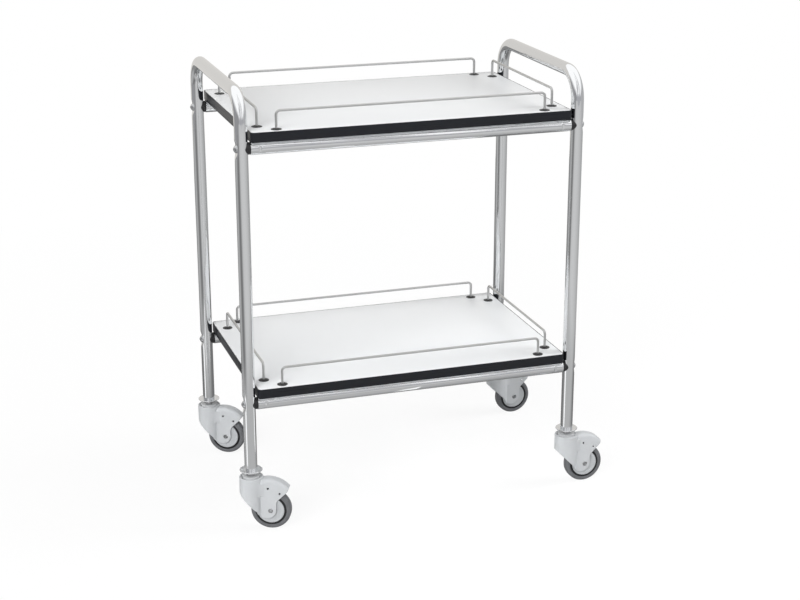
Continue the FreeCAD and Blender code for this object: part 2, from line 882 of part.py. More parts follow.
def is_hood_edge(edge):
    round_edge = isinstance(edge.Curve, Part.Circle)
    return round_edge and abs(edge.Curve.Radius - hood_radius.value) < 0.001


def is_turret_rim(edge):
    flat = edge.BoundBox.ZLength < 0.001 and abs(edge.BoundBox.ZMax - turret_top.value) < 0.001
    return flat and isinstance(edge.Curve, Part.Circle)


def make_housing(name):
    body = new_body(name)
    cheeks = sketch_on(body, "XZ_Plane", name + "_cheek_outline")
    draw_path(cheeks, cheek_outline)
    cheek_pad = pad(body, cheeks, half_housing * 2, name + "_cheeks", midplane=True)
    fillet(body, cheek_pad, size("hood_round"), name + "_hood_round", is_hood_edge)

    neck = sketch_on(body, "XY_Plane", name + "_neck_plan")
    draw_path(neck, neck_outline(size("crease_round")))
    pad(body, neck, boss_bottom, name + "_neck")
    boss = sketch_on(body, "XY_Plane", name + "_boss_plan")
    bind(boss, "AttachmentOffset.Base.z", boss_bottom)
    draw_path(boss, neck_outline(size("boss_round")))
    pad(body, boss, boss_top - boss_bottom, name + "_boss")
    plan = sketch_on(body, "XY_Plane", name + "_turret_plan")
    bind(plan, "AttachmentOffset.Base.z", boss_top)
    draw_circle(plan, 0, 0, turret_radius)
    pad(body, plan, turret_top - boss_top, name + "_turret")
    skirt = sketch_on(body, "XZ_Plane", name + "_skirt_outline")
    draw_path(skirt, skirt_outline)
    pocket(body, skirt, through, name + "_skirt_cut", midplane=True)

    seat = sketch_on(body, "XZ_Plane", name + "_seat_section")
    draw_path(seat, seat_section)
    groove = body.newObject("PartDesign::Groove", name + "_bearing_seat")
    groove.Profile = seat
    groove.ReferenceAxis = (seat, ["V_Axis"])
    groove.Angle = 360.0
    check_cut(groove)
    fillet(body, groove, size("turret_rim_round"), name + "_rim_round", is_turret_rim)

    well = sketch_on(body, "XZ_Plane", name + "_wheel_well")
    draw_circle(well, trail, axle_height, axle_height + size("well_gap"))
    pocket(body, well, half_well * 2, name + "_well_cut", midplane=True)
    hollow = sketch_on(body, "XZ_Plane", name + "_hood_hollow")
    draw_path(hollow, well_outline)
    pocket(body, hollow, half_well * 2, name + "_hood_cut", midplane=True)

    holes = sketch_on(body, "XZ_Plane", name + "_cheek_holes")
    draw_circle(holes, trail, axle_height, size("axle_diameter") / 2 + fit_gap)
    pin_hole_radius = size("cheek_hole_diameter") / 2
    draw_circle(holes, trail - size("fore_hole_ahead"), axle_height + size("fore_hole_lift"), pin_hole_radius)
    draw_circle(holes, trail + size("aft_hole_behind"), axle_height + size("aft_hole_lift"), pin_hole_radius)
    pocket(body, holes, through, name + "_hole_cut", midplane=True)
    return body


# Wheel sections, as (radius, distance from the wheel's middle)

axle_radius = size("axle_diameter") / 2
half_tyre = size("tyre_width") / 2
rim_radius = size("rim_diameter") / 2
rim_inner = rim_radius - size("rim_thickness")
half_rim = size("rim_width") / 2
half_web = size("web_thickness") / 2
hub_radius = size("hub_diameter") / 2
bush_radius = size("bush_diameter") / 2
half_bush = half_well - running_gap
shoulder = size("tyre_shoulder")
axle_end = half_housing + size("axle_head_height")
axle_head_radius = size("axle_head_diameter") / 2
cover_radius = size("cover_diameter") / 2
cover_outer = half_rim + size("cover_thickness")
ring_outer = rim_inner - fit_gap
ring_inner = ring_outer - size("cover_ring_width")
ring_depth = half_rim - size("cover_ring_depth")
bush_outside = bush_radius + fit_gap

axle_section = [
    (0, -axle_end),
    (axle_head_radius, -axle_end),
    (axle_head_radius, -half_housing),
    (axle_radius, -half_housing),
    (axle_radius, half_housing),
    (axle_head_radius, half_housing),
    (axle_head_radius, axle_end),
    (0, axle_end),
]
core_section = [
    (bush_outside, -half_rim),
    (hub_radius, -half_rim),
    (hub_radius, -half_web),
    (rim_inner, -half_web),
    (rim_inner, -half_rim),
    (rim_radius, -half_rim),
    (rim_radius, half_rim),
    (rim_inner, half_rim),
    (rim_inner, half_web),
    (hub_radius, half_web),
    (hub_radius, half_rim),
    (bush_outside, half_rim),
]
tyre_section = [
    (rim_radius, -half_rim),
    (rim_radius + shoulder / 2, -half_tyre),
    (axle_height - shoulder, -half_tyre, shoulder, LEFT),
    (axle_height, shoulder - half_tyre),
    (axle_height, half_tyre - shoulder, shoulder, LEFT),
    (axle_height - shoulder, half_tyre),
    (rim_radius + shoulder / 2, half_tyre),
    (rim_radius, half_rim),
]


def cover_section(way):
    """One wheel cover: a disc over the rim with a ring that locates inside it."""
    corners = [
        (bush_outside, half_rim),
        (ring_inner, half_rim),
        (ring_inner, ring_depth),
        (ring_outer, ring_depth),
        (ring_outer, half_rim),
        (cover_radius, half_rim),
        (cover_radius, cover_outer),
        (bush_outside, cover_outer),
    ]
    return [(across, up * way) for across, up in corners]


def at_castor(piece, corner_x, corner_y, swivel):
    place(piece, (corner_x, corner_y, 0), Z_AXIS, swivel)


def at_axle(piece, corner_x, corner_y, swivel):
    """Put a piece that is turned about its own Z at the castor's axle, across the castor."""
    lying = FreeCAD.Rotation(FreeCAD.Vector(1, 0, 0), 90)
    heading = FreeCAD.Rotation(FreeCAD.Vector(0, 0, 1), swivel.value)
    piece.Placement = FreeCAD.Placement(FreeCAD.Vector(), heading * lying)
    bind(piece, "Placement.Base.x", corner_x + trail * cosine(swivel))
    bind(piece, "Placement.Base.y", corner_y + trail * sine(swivel))
    bind(piece, "Placement.Base.z", axle_height)


def cosine(degrees):
    return Size(math.cos(math.radians(degrees.value)), f"cos({degrees.text} * 1 deg)")


def sine(degrees):
    return Size(math.sin(math.radians(degrees.value)), f"sin({degrees.text} * 1 deg)")


CORNERS = {
    "front_left": (-post_x, -post_y),
    "front_right": (post_x, -post_y),
    "rear_left": (-post_x, post_y),
    "rear_right": (post_x, post_y),
}
for corner, (corner_x, corner_y) in CORNERS.items():
    swivel = size(f"{corner}_swivel")

    housing = keep(make_housing(f"{corner}_castor_housing"))
    at_castor(housing, corner_x, corner_y, swivel)
    bearing_bore = size("bearing_bore") / 2
    bearing_outer = size("bearing_diameter") / 2 - fit_gap
    bearing_section = ring(bearing_bore, bearing_outer, bearing_bottom, bearing_top)
    bearing = turned(f"{corner}_swivel_bearing", bearing_section)
    at_castor(keep(bearing), corner_x, corner_y, swivel)

    wheel_pieces = [
        turned(f"{corner}_wheel_axle", axle_section),
        turned(f"{corner}_wheel_bush", ring(size("bush_bore") / 2, bush_radius, -half_bush, half_bush)),
        turned(f"{corner}_wheel_core", core_section),
        turned(f"{corner}_tyre", tyre_section),
    ]
    covers = [
        turned(f"{corner}_near_cover", cover_section(1)),
        turned(f"{corner}_far_cover", cover_section(-1)),
    ]
    for piece in wheel_pieces + covers:
        at_axle(piece, corner_x, corner_y, swivel)
    for piece in wheel_pieces:
        keep(piece)
    keep(gather(f"{corner}_wheel_covers", covers))

doc.recompute()

for item in doc.Objects:
    if "Invalid" in item.State or "Error" in item.State:
        raise RuntimeError(f"{item.Name} failed: {item.State}")
for node in nodes:
    if node.Shape.isNull() or not node.Shape.isValid():
        raise RuntimeError(f"{node.Label} has no valid shape")

os.makedirs("parts", exist_ok=True)
for node in nodes:
    node.Shape.exportStep(f"parts/{node.Label}.step")
print(len(nodes), "nodes,", sum(len(node.Shape.Solids) for node in nodes), "solids")
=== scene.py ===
# A two-shelf utility cart: chromed tube, white boards with black edging, wire galleries, swivel castors.
# Metres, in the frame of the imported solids: +Z up, the front at -Y, the origin on the floor.
import bpy
import json
import math
from mathutils import Matrix, Vector


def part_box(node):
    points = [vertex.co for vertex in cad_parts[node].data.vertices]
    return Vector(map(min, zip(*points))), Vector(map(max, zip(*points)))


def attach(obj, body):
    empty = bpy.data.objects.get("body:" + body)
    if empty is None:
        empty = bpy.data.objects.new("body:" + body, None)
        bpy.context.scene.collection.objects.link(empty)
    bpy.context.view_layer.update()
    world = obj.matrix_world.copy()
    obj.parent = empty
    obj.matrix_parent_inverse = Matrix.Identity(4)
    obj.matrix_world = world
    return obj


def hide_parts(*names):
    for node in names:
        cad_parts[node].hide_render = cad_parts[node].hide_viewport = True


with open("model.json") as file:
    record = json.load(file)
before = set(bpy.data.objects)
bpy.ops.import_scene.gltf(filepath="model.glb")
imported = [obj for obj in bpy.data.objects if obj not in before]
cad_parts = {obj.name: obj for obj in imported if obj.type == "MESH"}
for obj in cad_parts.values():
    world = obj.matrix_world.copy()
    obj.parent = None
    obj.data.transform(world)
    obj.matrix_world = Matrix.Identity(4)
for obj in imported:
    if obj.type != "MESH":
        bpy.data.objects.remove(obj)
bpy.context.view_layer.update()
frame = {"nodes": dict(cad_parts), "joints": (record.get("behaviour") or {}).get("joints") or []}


# End frames. Each is one length of chromed steel tube, bent twice into two posts and a handle.
# Where a bolt head sits the tube is pressed in on its outer side, and both feet are cut square.

TUBE_RADIUS = 0.0125
TUBE_SIDES = 72
HANDLE_BEND = 0.052
BEND_STEPS = 24
DENT_RADIUS = 0.025
DENT_DEPTH = 0.0055
DENT_REACH = 0.022
DENT_STEP = 0.001
DENT_SOFTNESS = 0.0007
BEYOND_TOOL = 30.0
MERGE_DISTANCE = 0.000001
CHROME = (0.80, 0.81, 0.82, 1.0)
NOISE_ROUGHNESS = 0.55
NOISE_RANGE = (0.3, 0.7)


def let_go():
    """Leave edit mode with nothing selected."""
    if bpy.context.mode != "OBJECT":
        bpy.ops.object.mode_set(mode="OBJECT")
    bpy.ops.object.select_all(action="DESELECT")


def pick(piece):
    """Select one piece alone and make it the active one."""
    let_go()
    piece.select_set(True)
    bpy.context.view_layer.objects.active = piece


def edit_all(piece):
    """Open a piece in edit mode with all of it selected."""
    pick(piece)
    bpy.ops.object.mode_set(mode="EDIT")
    bpy.ops.mesh.select_mode(type="VERT")
    bpy.ops.mesh.select_all(action="SELECT")


def settle(name):
    """Name the piece just added, and put its place, turn and size into its mesh."""
    piece = bpy.context.object
    piece.name = name
    bpy.ops.object.transform_apply(location=True, rotation=True, scale=True)
    return piece


def start_ring(name, radius, sides, place, turn=(0.0, 0.0, 0.0)):
    """An open ring of points, ready to be extruded into a tube."""
    let_go()
    bpy.ops.mesh.primitive_circle_add(vertices=sides, radius=radius, location=place, rotation=turn)
    ring = settle(name)
    edit_all(ring)
    return ring


def stations_about(centre, reach, step):
    """Places close together on both sides of a centre, where a tube is pressed in."""
    count = round(reach * 2 / step)
    return [centre - reach + step * number for number in range(count + 1)]


def extrude_along(direction, stations):
    """Extrude what is selected from station to station along one direction."""
    for before, after in zip(stations, stations[1:]):
        step = Vector(direction) * (after - before)
        bpy.ops.mesh.extrude_region_move(TRANSFORM_OT_translate={"value": step})


def bend_tube(steps, centre, axis):
    """Carry the selected end of a tube a quarter turn round a centre."""
    bpy.ops.mesh.spin(steps=steps, angle=math.pi / 2, center=centre, axis=axis)


def close_up(piece, angle=40.0):
    """Close open ends, merge doubles, turn the faces outwards and shade the round parts smooth."""
    edit_all(piece)
    bpy.ops.mesh.remove_doubles(threshold=MERGE_DISTANCE)
    bpy.ops.mesh.fill_holes(sides=0)
    bpy.ops.mesh.normals_make_consistent(inside=False)
    let_go()
    pick(piece)
    bpy.ops.object.shade_smooth_by_angle(angle=math.radians(angle))


def finish_with(piece, kind, **settings):
    """Add a modifier to a piece and apply it."""
    pick(piece)
    modifier = piece.modifiers.new(kind.title(), kind)
    for key, value in settings.items():
        setattr(modifier, key, value)
    bpy.ops.object.modifier_apply(modifier=modifier.name)


def soft_press(distance, tool_radius, softness):
    """How far from a round tool's centre a point ends up once the tool is pressed in."""
    depth = (distance - tool_radius) / softness
    if depth > BEYOND_TOOL:
        return distance
    return tool_radius + softness * math.log1p(math.exp(depth))


def press_dent(piece, centre, radius, softness):
    """Push a tube's wall in with a ball of a radius."""
    centre = Vector(centre)
    for point in piece.data.vertices:
        offset = point.co - centre
        reach = offset.length
        point.co = centre + offset * (soft_press(reach, radius, softness) / reach)


def new_finish(name):
    """A material with its node tree, its shader and Object coordinates."""
    material = bpy.data.materials.new(name)
    material.use_nodes = True
    nodes = material.node_tree.nodes
    shader = nodes["Principled BSDF"]
    places = nodes.new("ShaderNodeTexCoord")
    return material, nodes, material.node_tree.links, shader, places


def add_noise(nodes, links, source, scale, detail):
    """A noise texture on coordinates from a socket."""
    noise = nodes.new("ShaderNodeTexNoise")
    noise.inputs["Scale"].default_value = scale
    noise.inputs["Detail"].default_value = detail
    noise.inputs["Roughness"].default_value = NOISE_ROUGHNESS
    links.new(source, noise.inputs["Vector"])
    return noise


def ranged_from(nodes, source, target=(0.0, 1.0)):
    """A node that maps one range of values to another."""
    ranged = nodes.new("ShaderNodeMapRange")
    ranged.inputs["From Min"].default_value = source[0]
    ranged.inputs["From Max"].default_value = source[1]
    ranged.inputs["To Min"].default_value = target[0]
    ranged.inputs["To Max"].default_value = target[1]
    return ranged


def shade_of(colour, share):
    """A colour made darker or lighter."""
    return [channel * share for channel in colour[:3]] + [1.0]


def make_finish(name, colour, haze, roughness, grain=None, tint=None, metal=0.0, gloss=0.5, stretch=None):
    """A finish whose roughness varies with a haze (scale, detail), whose surface is raised by a grain
    (scale, detail, strength, depth) and whose colour is shaded by a tint (scale, detail, low, high)."""
    material, nodes, links, shader, places = new_finish(name)
    shader.inputs["Base Color"].default_value = colour
    shader.inputs["Metallic"].default_value = metal
    shader.inputs["Specular IOR Level"].default_value = gloss
    source = places.outputs["Object"]
    if stretch:
        mapping = nodes.new("ShaderNodeMapping")
        mapping.inputs["Scale"].default_value = stretch
        links.new(source, mapping.inputs["Vector"])
        source = mapping.outputs["Vector"]
    cloud = add_noise(nodes, links, source, *haze)
    ranged = ranged_from(nodes, NOISE_RANGE, roughness)
    links.new(cloud.outputs["Fac"], ranged.inputs["Value"])
    links.new(ranged.outputs["Result"], shader.inputs["Roughness"])
    if grain:
        scale, detail, strength, depth = grain
        bump = nodes.new("ShaderNodeBump")
        bump.inputs["Strength"].default_value = strength
        bump.inputs["Distance"].default_value = depth
        links.new(add_noise(nodes, links, source, scale, detail).outputs["Fac"], bump.inputs["Height"])
        links.new(bump.outputs["Normal"], shader.inputs["Normal"])
    if tint:
        scale, detail, low, high = tint
        ramp = nodes.new("ShaderNodeValToRGB")
        for stop, place, share in zip(ramp.color_ramp.elements, NOISE_RANGE, (low, high)):
            stop.position = place
            stop.color = shade_of(colour, share)
        links.new(add_noise(nodes, links, source, scale, detail).outputs["Fac"], ramp.inputs["Fac"])
        links.new(ramp.outputs["Color"], shader.inputs["Base Color"])
    return material


def give(piece, material):
    """Give a piece one finish all over."""
    piece.data.materials.clear()
    piece.data.materials.append(material)


def stand_for(piece, body, slot, *cad_nodes):
    """Let a piece move with its body in place of the solids that it stands for."""
    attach(piece, body)
    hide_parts(*cad_nodes)


chrome = make_finish(
    "chrome_tube",
    CHROME,
    haze=(38.0, 4.0),
    roughness=(0.05, 0.11),
    grain=(90.0, 2.0, 0.06, 0.0006),
    metal=1.0,
)
RAIL_LEVELS = {}
for level in ("upper", "lower"):
    low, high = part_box(level + "_front_rail")
    RAIL_LEVELS[level] = (low.z + high.z) / 2
HALF_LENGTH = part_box("upper_front_rail")[1].x

for side, way in (("left", -1.0), ("right", 1.0)):
    node = side + "_end_frame"
    low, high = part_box(node)
    post_x = (low.x + high.x) / 2
    post_y = high.y - TUBE_RADIUS
    foot = low.z
    handle_z = high.z - TUBE_RADIUS
    bend_z = handle_z - HANDLE_BEND
    bend_y = post_y - HANDLE_BEND
    levels = [foot]
    for dent_z in sorted(RAIL_LEVELS.values()):
        levels += stations_about(dent_z, DENT_REACH, DENT_STEP)
    levels.append(bend_z)
    tube = start_ring(side + "_frame_tube", TUBE_RADIUS, TUBE_SIDES, (post_x, -post_y, foot))
    extrude_along((0, 0, 1), levels)
    bend_tube(BEND_STEPS, (post_x, -bend_y, bend_z), (1, 0, 0))
    extrude_along((0, 1, 0), [-bend_y, bend_y])
    bend_tube(BEND_STEPS, (post_x, bend_y, bend_z), (1, 0, 0))
    extrude_along((0, 0, 1), levels[::-1])
    let_go()
    dent_x = post_x + way * (TUBE_RADIUS + DENT_RADIUS - DENT_DEPTH)
    for dent_z in RAIL_LEVELS.values():
        for dent_y in (-post_y, post_y):
            press_dent(tube, (dent_x, dent_y, dent_z), DENT_RADIUS, DENT_SOFTNESS)
    close_up(tube)
    give(tube, chrome)
    stand_for(tube, "frame", "chrome_tube", node)

POST_X = post_x
POST_Y = post_y
POSTS = [(-POST_X, -POST_Y), (POST_X, -POST_Y), (-POST_X, POST_Y), (POST_X, POST_Y)]


# Rails. The same chromed tube, one under each long edge of a shelf, cut square between the saddles.
# A press pinches the tube front and rear near each end onto the threaded insert inside.

CRIMP_FROM_END = 0.0175
CRIMP_TOOL = 0.004
CRIMP_DEPTH = 0.0015
CRIMP_REACH = 0.006
CRIMP_STEP = 0.0005
CRIMP_SOFTNESS = 0.0003
SCREW_FROM_END = 0.120
ACCESS_RADIUS = 0.00425
ACCESS_DEPTH = 0.011
ACCESS_SIDES = 40
ALONG_X = (0.0, math.pi / 2, 0.0)


def press_crimp(piece, centre_x, centre_y, radius, softness):
    """Pinch a rail's wall with an upright round tool."""
    for point in piece.data.vertices:
        offset_x = point.co.x - centre_x
        offset_y = point.co.y - centre_y
        reach = math.hypot(offset_x, offset_y)
        grow = soft_press(reach, radius, softness) / reach
        point.co.x = centre_x + offset_x * grow
        point.co.y = centre_y + offset_y * grow


def round_bar(name, radius, length, place, turn=(0.0, 0.0, 0.0), sides=64):
    """A cylinder at a place, with its own transform applied."""
    let_go()
    bpy.ops.mesh.primitive_cylinder_add(
        vertices=sides, radius=radius, depth=length, location=place, rotation=turn
    )
    return settle(name)


def remove(piece):
    """Take away a tool or a pattern piece that was only copied from."""
    bpy.data.objects.remove(piece)


def cut_out(pieces, cutter):
    """Cut one piece out of others, and throw it away."""
    for piece in pieces:
        finish_with(piece, "BOOLEAN", operation="DIFFERENCE", object=cutter, solver="EXACT")
    remove(cutter)


for level in ("upper", "lower"):
    for row in ("front", "rear"):
        node = level + "_" + row + "_rail"
        low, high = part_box(node)
        rail_y = (low.y + high.y) / 2
        rail_z = (low.z + high.z) / 2
        crimps = (low.x + CRIMP_FROM_END, high.x - CRIMP_FROM_END)
        stations = [low.x]
        for crimp_x in crimps:
            stations += stations_about(crimp_x, CRIMP_REACH, CRIMP_STEP)
        stations.append(high.x)
        rail_start = (low.x, rail_y, rail_z)
        rail = start_ring(node + "_tube", TUBE_RADIUS, TUBE_SIDES, rail_start, ALONG_X)
        extrude_along((1, 0, 0), stations)
        let_go()
        tool_offset = TUBE_RADIUS + CRIMP_TOOL - CRIMP_DEPTH
        for crimp_x in crimps:
            for face in (-tool_offset, tool_offset):
                press_crimp(rail, crimp_x, rail_y + face, CRIMP_TOOL, CRIMP_SOFTNESS)
        close_up(rail)
        for hole_x in (low.x + SCREW_FROM_END, high.x - SCREW_FROM_END):
            hole = (hole_x, rail_y, low.z)
            cut_out([rail], round_bar("drill", ACCESS_RADIUS, ACCESS_DEPTH * 2, hole, sides=ACCESS_SIDES))
        give(rail, chrome)
        stand_for(rail, "frame", "chrome_tube", node)


# Post saddles. Round plugs of black plastic between a rail's end and the post, hollowed on one side
# so that they sit against the round tube. The frame bolt goes through them.

SADDLE_RADIUS = 0.0115
SADDLE_GAP = 0.00005
SADDLE_EDGE = 0.0004
POST_TOOL_SIDES = 96
BLACK_PLASTIC = (0.010, 0.010, 0.011, 1.0)


def copy_to(source, name, matrix):
    """A copy of a piece with its own mesh, moved to a place and left at the origin."""
    pick(source)
    bpy.ops.object.duplicate(linked=False)
    bpy.context.object.matrix_world = matrix
    return settle(name)


def join_pieces(pieces, name):
    """Make one object of several pieces."""
    pick(pieces[0])
    for piece in pieces:
        piece.select_set(True)
    bpy.ops.object.join()
    joined = bpy.context.object
    joined.name = name
    return joined


def copies_at(pattern, name, matrices):
    """One object made of copies of a pattern piece, which is then taken away."""
    copies = [copy_to(pattern, name, matrix) for matrix in matrices]
    remove(pattern)
    return join_pieces(copies, name)


def at_joints(pattern, name):
    """Copies of a pattern piece at the eight joints of rail and post, its +X towards the cart's middle."""
    matrices = []
    for across, depth in POSTS:
        heading = 0.0 if across < 0 else math.pi
        for height in RAIL_LEVELS.values():
            matrices.append(Matrix.Translation((across, depth, height)) @ Matrix.Rotation(heading, 4, "Z"))
    return copies_at(pattern, name, matrices)


def break_edges(piece, width, angle):
    """Round the edges of a piece that are sharper than an angle."""
    sharp = math.radians(angle)
    finish_with(piece, "BEVEL", width=width, segments=2, limit_method="ANGLE", angle_limit=sharp)


black_plastic = make_finish(
    "black_plastic",
    BLACK_PLASTIC,
    haze=(180.0, 3.0),
    roughness=(0.38, 0.52),
    grain=(2600.0, 2.0, 0.15, 0.0002),
)
saddle_length = POST_X - HALF_LENGTH
saddle = round_bar("saddle", SADDLE_RADIUS, saddle_length, (saddle_length / 2, 0, 0), ALONG_X)
post_radius = TUBE_RADIUS + SADDLE_GAP
cut_out([saddle], round_bar("post_tool", post_radius, TUBE_RADIUS * 4, (0, 0, 0), sides=POST_TOOL_SIDES))
break_edges(saddle, SADDLE_EDGE, angle=40.0)
close_up(saddle)
give(saddle, black_plastic)
saddles = at_joints(saddle, "saddles")
stand_for(saddles, "frame", "black_plastic", "post_saddles")


# Frame bolts. Zinc-plated screws with low domed heads and a hexagon socket, seated in the dents
# on the posts' outer sides and screwed through the saddles into the rails.

BOLT_HEAD_RADIUS = 0.0075
BOLT_HEAD_HEIGHT = 0.007
BOLT_HEAD_RIM = 0.0025
BOLT_SHANK_RADIUS = 0.003
BOLT_SHANK_LENGTH = 0.044
HEX_SOCKET = 0.0023
HEX_DEPTH = 0.0022
HEX_SIDES = 6
DOME_SHARES = (0.25, 0.5, 0.7, 0.85, 0.96)
BOLT_STEPS = 48
ZINC = (0.62, 0.63, 0.64, 1.0)


def spin_profile(name, profile, steps=64, closed=False):
    """Draw a half section as (radius, place on the axis), then spin it about the X axis."""
    let_go()
    first_radius, first_place = profile[0]
    bpy.ops.mesh.primitive_plane_add(size=0.001, location=(first_place, 0, first_radius))
    piece = settle(name)
    edit_all(piece)
    bpy.ops.mesh.merge(type="CENTER")
    corners = list(profile) + ([profile[0]] if closed else [])
    for (radius, place), (next_radius, next_place) in zip(corners, corners[1:]):
        step = (next_place - place, 0, next_radius - radius)
        bpy.ops.mesh.extrude_region_move(TRANSFORM_OT_translate={"value": step})
    bpy.ops.mesh.select_all(action="SELECT")
    bpy.ops.mesh.remove_doubles(threshold=MERGE_DISTANCE)
    bpy.ops.mesh.select_all(action="SELECT")
    bpy.ops.mesh.spin(steps=steps, angle=math.pi * 2, center=(0, 0, 0), axis=(1, 0, 0))
    bpy.ops.mesh.select_all(action="SELECT")
    bpy.ops.mesh.remove_doubles(threshold=MERGE_DISTANCE)
    bpy.ops.mesh.normals_make_consistent(inside=False)
    let_go()
    return piece


zinc = make_finish(
    "zinc_steel",
    ZINC,
    haze=(320.0, 4.0),
    roughness=(0.16, 0.32),
    grain=(320.0, 4.0, 0.08, 0.0003),
    metal=1.0,
)
head_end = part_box("frame_bolts")[1].x - POST_X
head_seat = head_end - BOLT_HEAD_HEIGHT
dome = [(0.0, -head_end)]
for share in DOME_SHARES:
    fall = (BOLT_HEAD_HEIGHT - BOLT_HEAD_RIM) * share ** 2
    dome.append((BOLT_HEAD_RADIUS * share, fall - head_end))
dome += [
    (BOLT_HEAD_RADIUS, -head_seat - BOLT_HEAD_RIM),
    (BOLT_HEAD_RADIUS, -head_seat),
    (BOLT_SHANK_RADIUS, -head_seat),
    (BOLT_SHANK_RADIUS, BOLT_SHANK_LENGTH - head_seat),
    (0.0, BOLT_SHANK_LENGTH - head_seat),
]
bolt = spin_profile("bolt", dome, BOLT_STEPS)
cut_out([bolt], round_bar("hex_tool", HEX_SOCKET, HEX_DEPTH * 2, (-head_end, 0, 0), ALONG_X, HEX_SIDES))
close_up(bolt, angle=35.0)
give(bolt, zinc)
bolts = at_joints(bolt, "bolts")
stand_for(bolts, "frame", "zinc_steel", "frame_bolts")


# Shelf boards. Chipboard faced with white melamine, about 19 mm thick, with a faint orange-peel
# texture from the press plate. They lie on the rails and are screwed to them from below.

BOARD_CORNER = 0.0065
BOARD_EDGE = 0.0004
IN_LINE = 0.00001
BOARD_WHITE = (0.79, 0.802, 0.812, 1.0)


def block(name, low, high):
    """A cube set to a box."""
    let_go()
    bpy.ops.mesh.primitive_cube_add(size=1.0, location=(low + high) / 2, scale=high - low)
    return settle(name)


def select_edges(piece, wanted):
    """Select the edges of a piece in edit mode that pass a test on their two ends."""
    pick(piece)
    bpy.ops.object.mode_set(mode="EDIT")
    bpy.ops.mesh.select_mode(type="EDGE")
    bpy.ops.mesh.select_all(action="DESELECT")
    bpy.ops.object.mode_set(mode="OBJECT")
    points = piece.data.vertices
    for edge in piece.data.edges:
        ends = [points[index].co for index in edge.vertices]
        edge.select = wanted(*ends)
    bpy.ops.object.mode_set(mode="EDIT")


def is_upright(start, end):
    """An edge that runs straight up."""
    return abs(start.x - end.x) < IN_LINE and abs(start.y - end.y) < IN_LINE


laminate = make_finish(
    "white_laminate",
    BOARD_WHITE,
    haze=(900.0, 2.0),
    roughness=(0.30, 0.40),
    grain=(900.0, 2.0, 0.10, 0.0003),
    tint=(3.0, 2.0, 0.985, 1.0),
)
for level in ("upper", "lower"):
    node = level + "_shelf_board"
    board = block(level + "_board", *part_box(node))
    select_edges(board, is_upright)
    bpy.ops.mesh.bevel(offset=BOARD_CORNER, segments=8, affect="EDGES")
    let_go()
    break_edges(board, BOARD_EDGE, angle=60.0)
    close_up(board)
    give(board, laminate)
    stand_for(board, "frame", "white_laminate", node)


# Edge bands. A strip of satin black plastic glued all round each board's edge and trimmed flush
# with both faces, with its own edges just broken.

BAND_CORNER = 0.008
BAND_THICKNESS = 0.0015
BAND_EDGE = 0.0003
BAND_BLACK = (0.012, 0.013, 0.016, 1.0)
FACES_UP = 0.9
DRAW_MARKS = (6.0, 6.0, 900.0)

band_finish = make_finish(
    "black_band",
    BAND_BLACK,
    haze=(1.0, 2.0),
    roughness=(0.26, 0.38),
    grain=(1.0, 2.0, 0.06, 0.0002),
    gloss=0.19,
    stretch=DRAW_MARKS,
)
for level in ("upper", "lower"):
    node = level + "_edge_band"
    band = block(level + "_band", *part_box(node))
    select_edges(band, is_upright)
    bpy.ops.mesh.bevel(offset=BAND_CORNER, segments=10, affect="EDGES")
    bpy.ops.mesh.select_mode(type="FACE")
    bpy.ops.mesh.select_all(action="DESELECT")
    bpy.ops.object.mode_set(mode="OBJECT")
    for face in band.data.polygons:
        face.select = abs(face.normal.z) > FACES_UP
    bpy.ops.object.mode_set(mode="EDIT")
    bpy.ops.mesh.delete(type="FACE")
    let_go()
    finish_with(band, "SOLIDIFY", thickness=BAND_THICKNESS, offset=-1.0, use_even_offset=True)
    break_edges(band, BAND_EDGE, angle=60.0)
    pick(band)
    bpy.ops.object.shade_smooth_by_angle(angle=math.radians(40))
    give(band, band_finish)
    stand_for(band, "frame", "black_band", node)


# Galleries. Satin plated wire, bent down at both ends, one along each edge of each shelf. The legs
# go through grommets into blind holes in the board.

WIRE_RADIUS = 0.0025
WIRE_SIDES = 28
WIRE_BEND = 0.008
WIRE_BEND_STEPS = 12
SATIN_WIRE = (0.58, 0.58, 0.575, 1.0)

wire_finish = make_finish(
    "satin_wire",
    SATIN_WIRE,
    haze=(240.0, 4.0),
    roughness=(0.34, 0.48),
    grain=(240.0, 4.0, 0.08, 0.0002),
    metal=1.0,
)
for level in ("upper", "lower"):
    for edge in ("front", "rear", "left", "right"):
        node = level + "_" + edge + "_gallery"
        low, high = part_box(node)
        along_x = edge in ("front", "rear")
        run = Vector((1, 0, 0)) if along_x else Vector((0, 1, 0))
        turn_axis = (0, -1, 0) if along_x else (1, 0, 0)
        middle = (low + high) / 2
        half_run = (high - low).dot(run) / 2 - WIRE_RADIUS
        top = high.z - WIRE_RADIUS
        bend_top = top - WIRE_BEND
        half_top = half_run - WIRE_BEND
        start = Vector((middle.x, middle.y, low.z)) - run * half_run
        wire = start_ring(node + "_wire", WIRE_RADIUS, WIRE_SIDES, start)
        extrude_along((0, 0, 1), [low.z, bend_top])
        bend_middle = Vector((middle.x, middle.y, bend_top))
        bend_tube(WIRE_BEND_STEPS, bend_middle - run * half_top, turn_axis)
        extrude_along(run, [-half_top, half_top])
        bend_tube(WIRE_BEND_STEPS, bend_middle + run * half_top, turn_axis)
        extrude_along((0, 0, 1), [bend_top, low.z])
        close_up(wire)
        give(wire, wire_finish)
        stand_for(wire, "frame", "satin_wire", node)


# Grommets. Low black plastic domes in shallow seats in the board, one round each leg of a gallery,
# with a shank that fills the drilled hole.

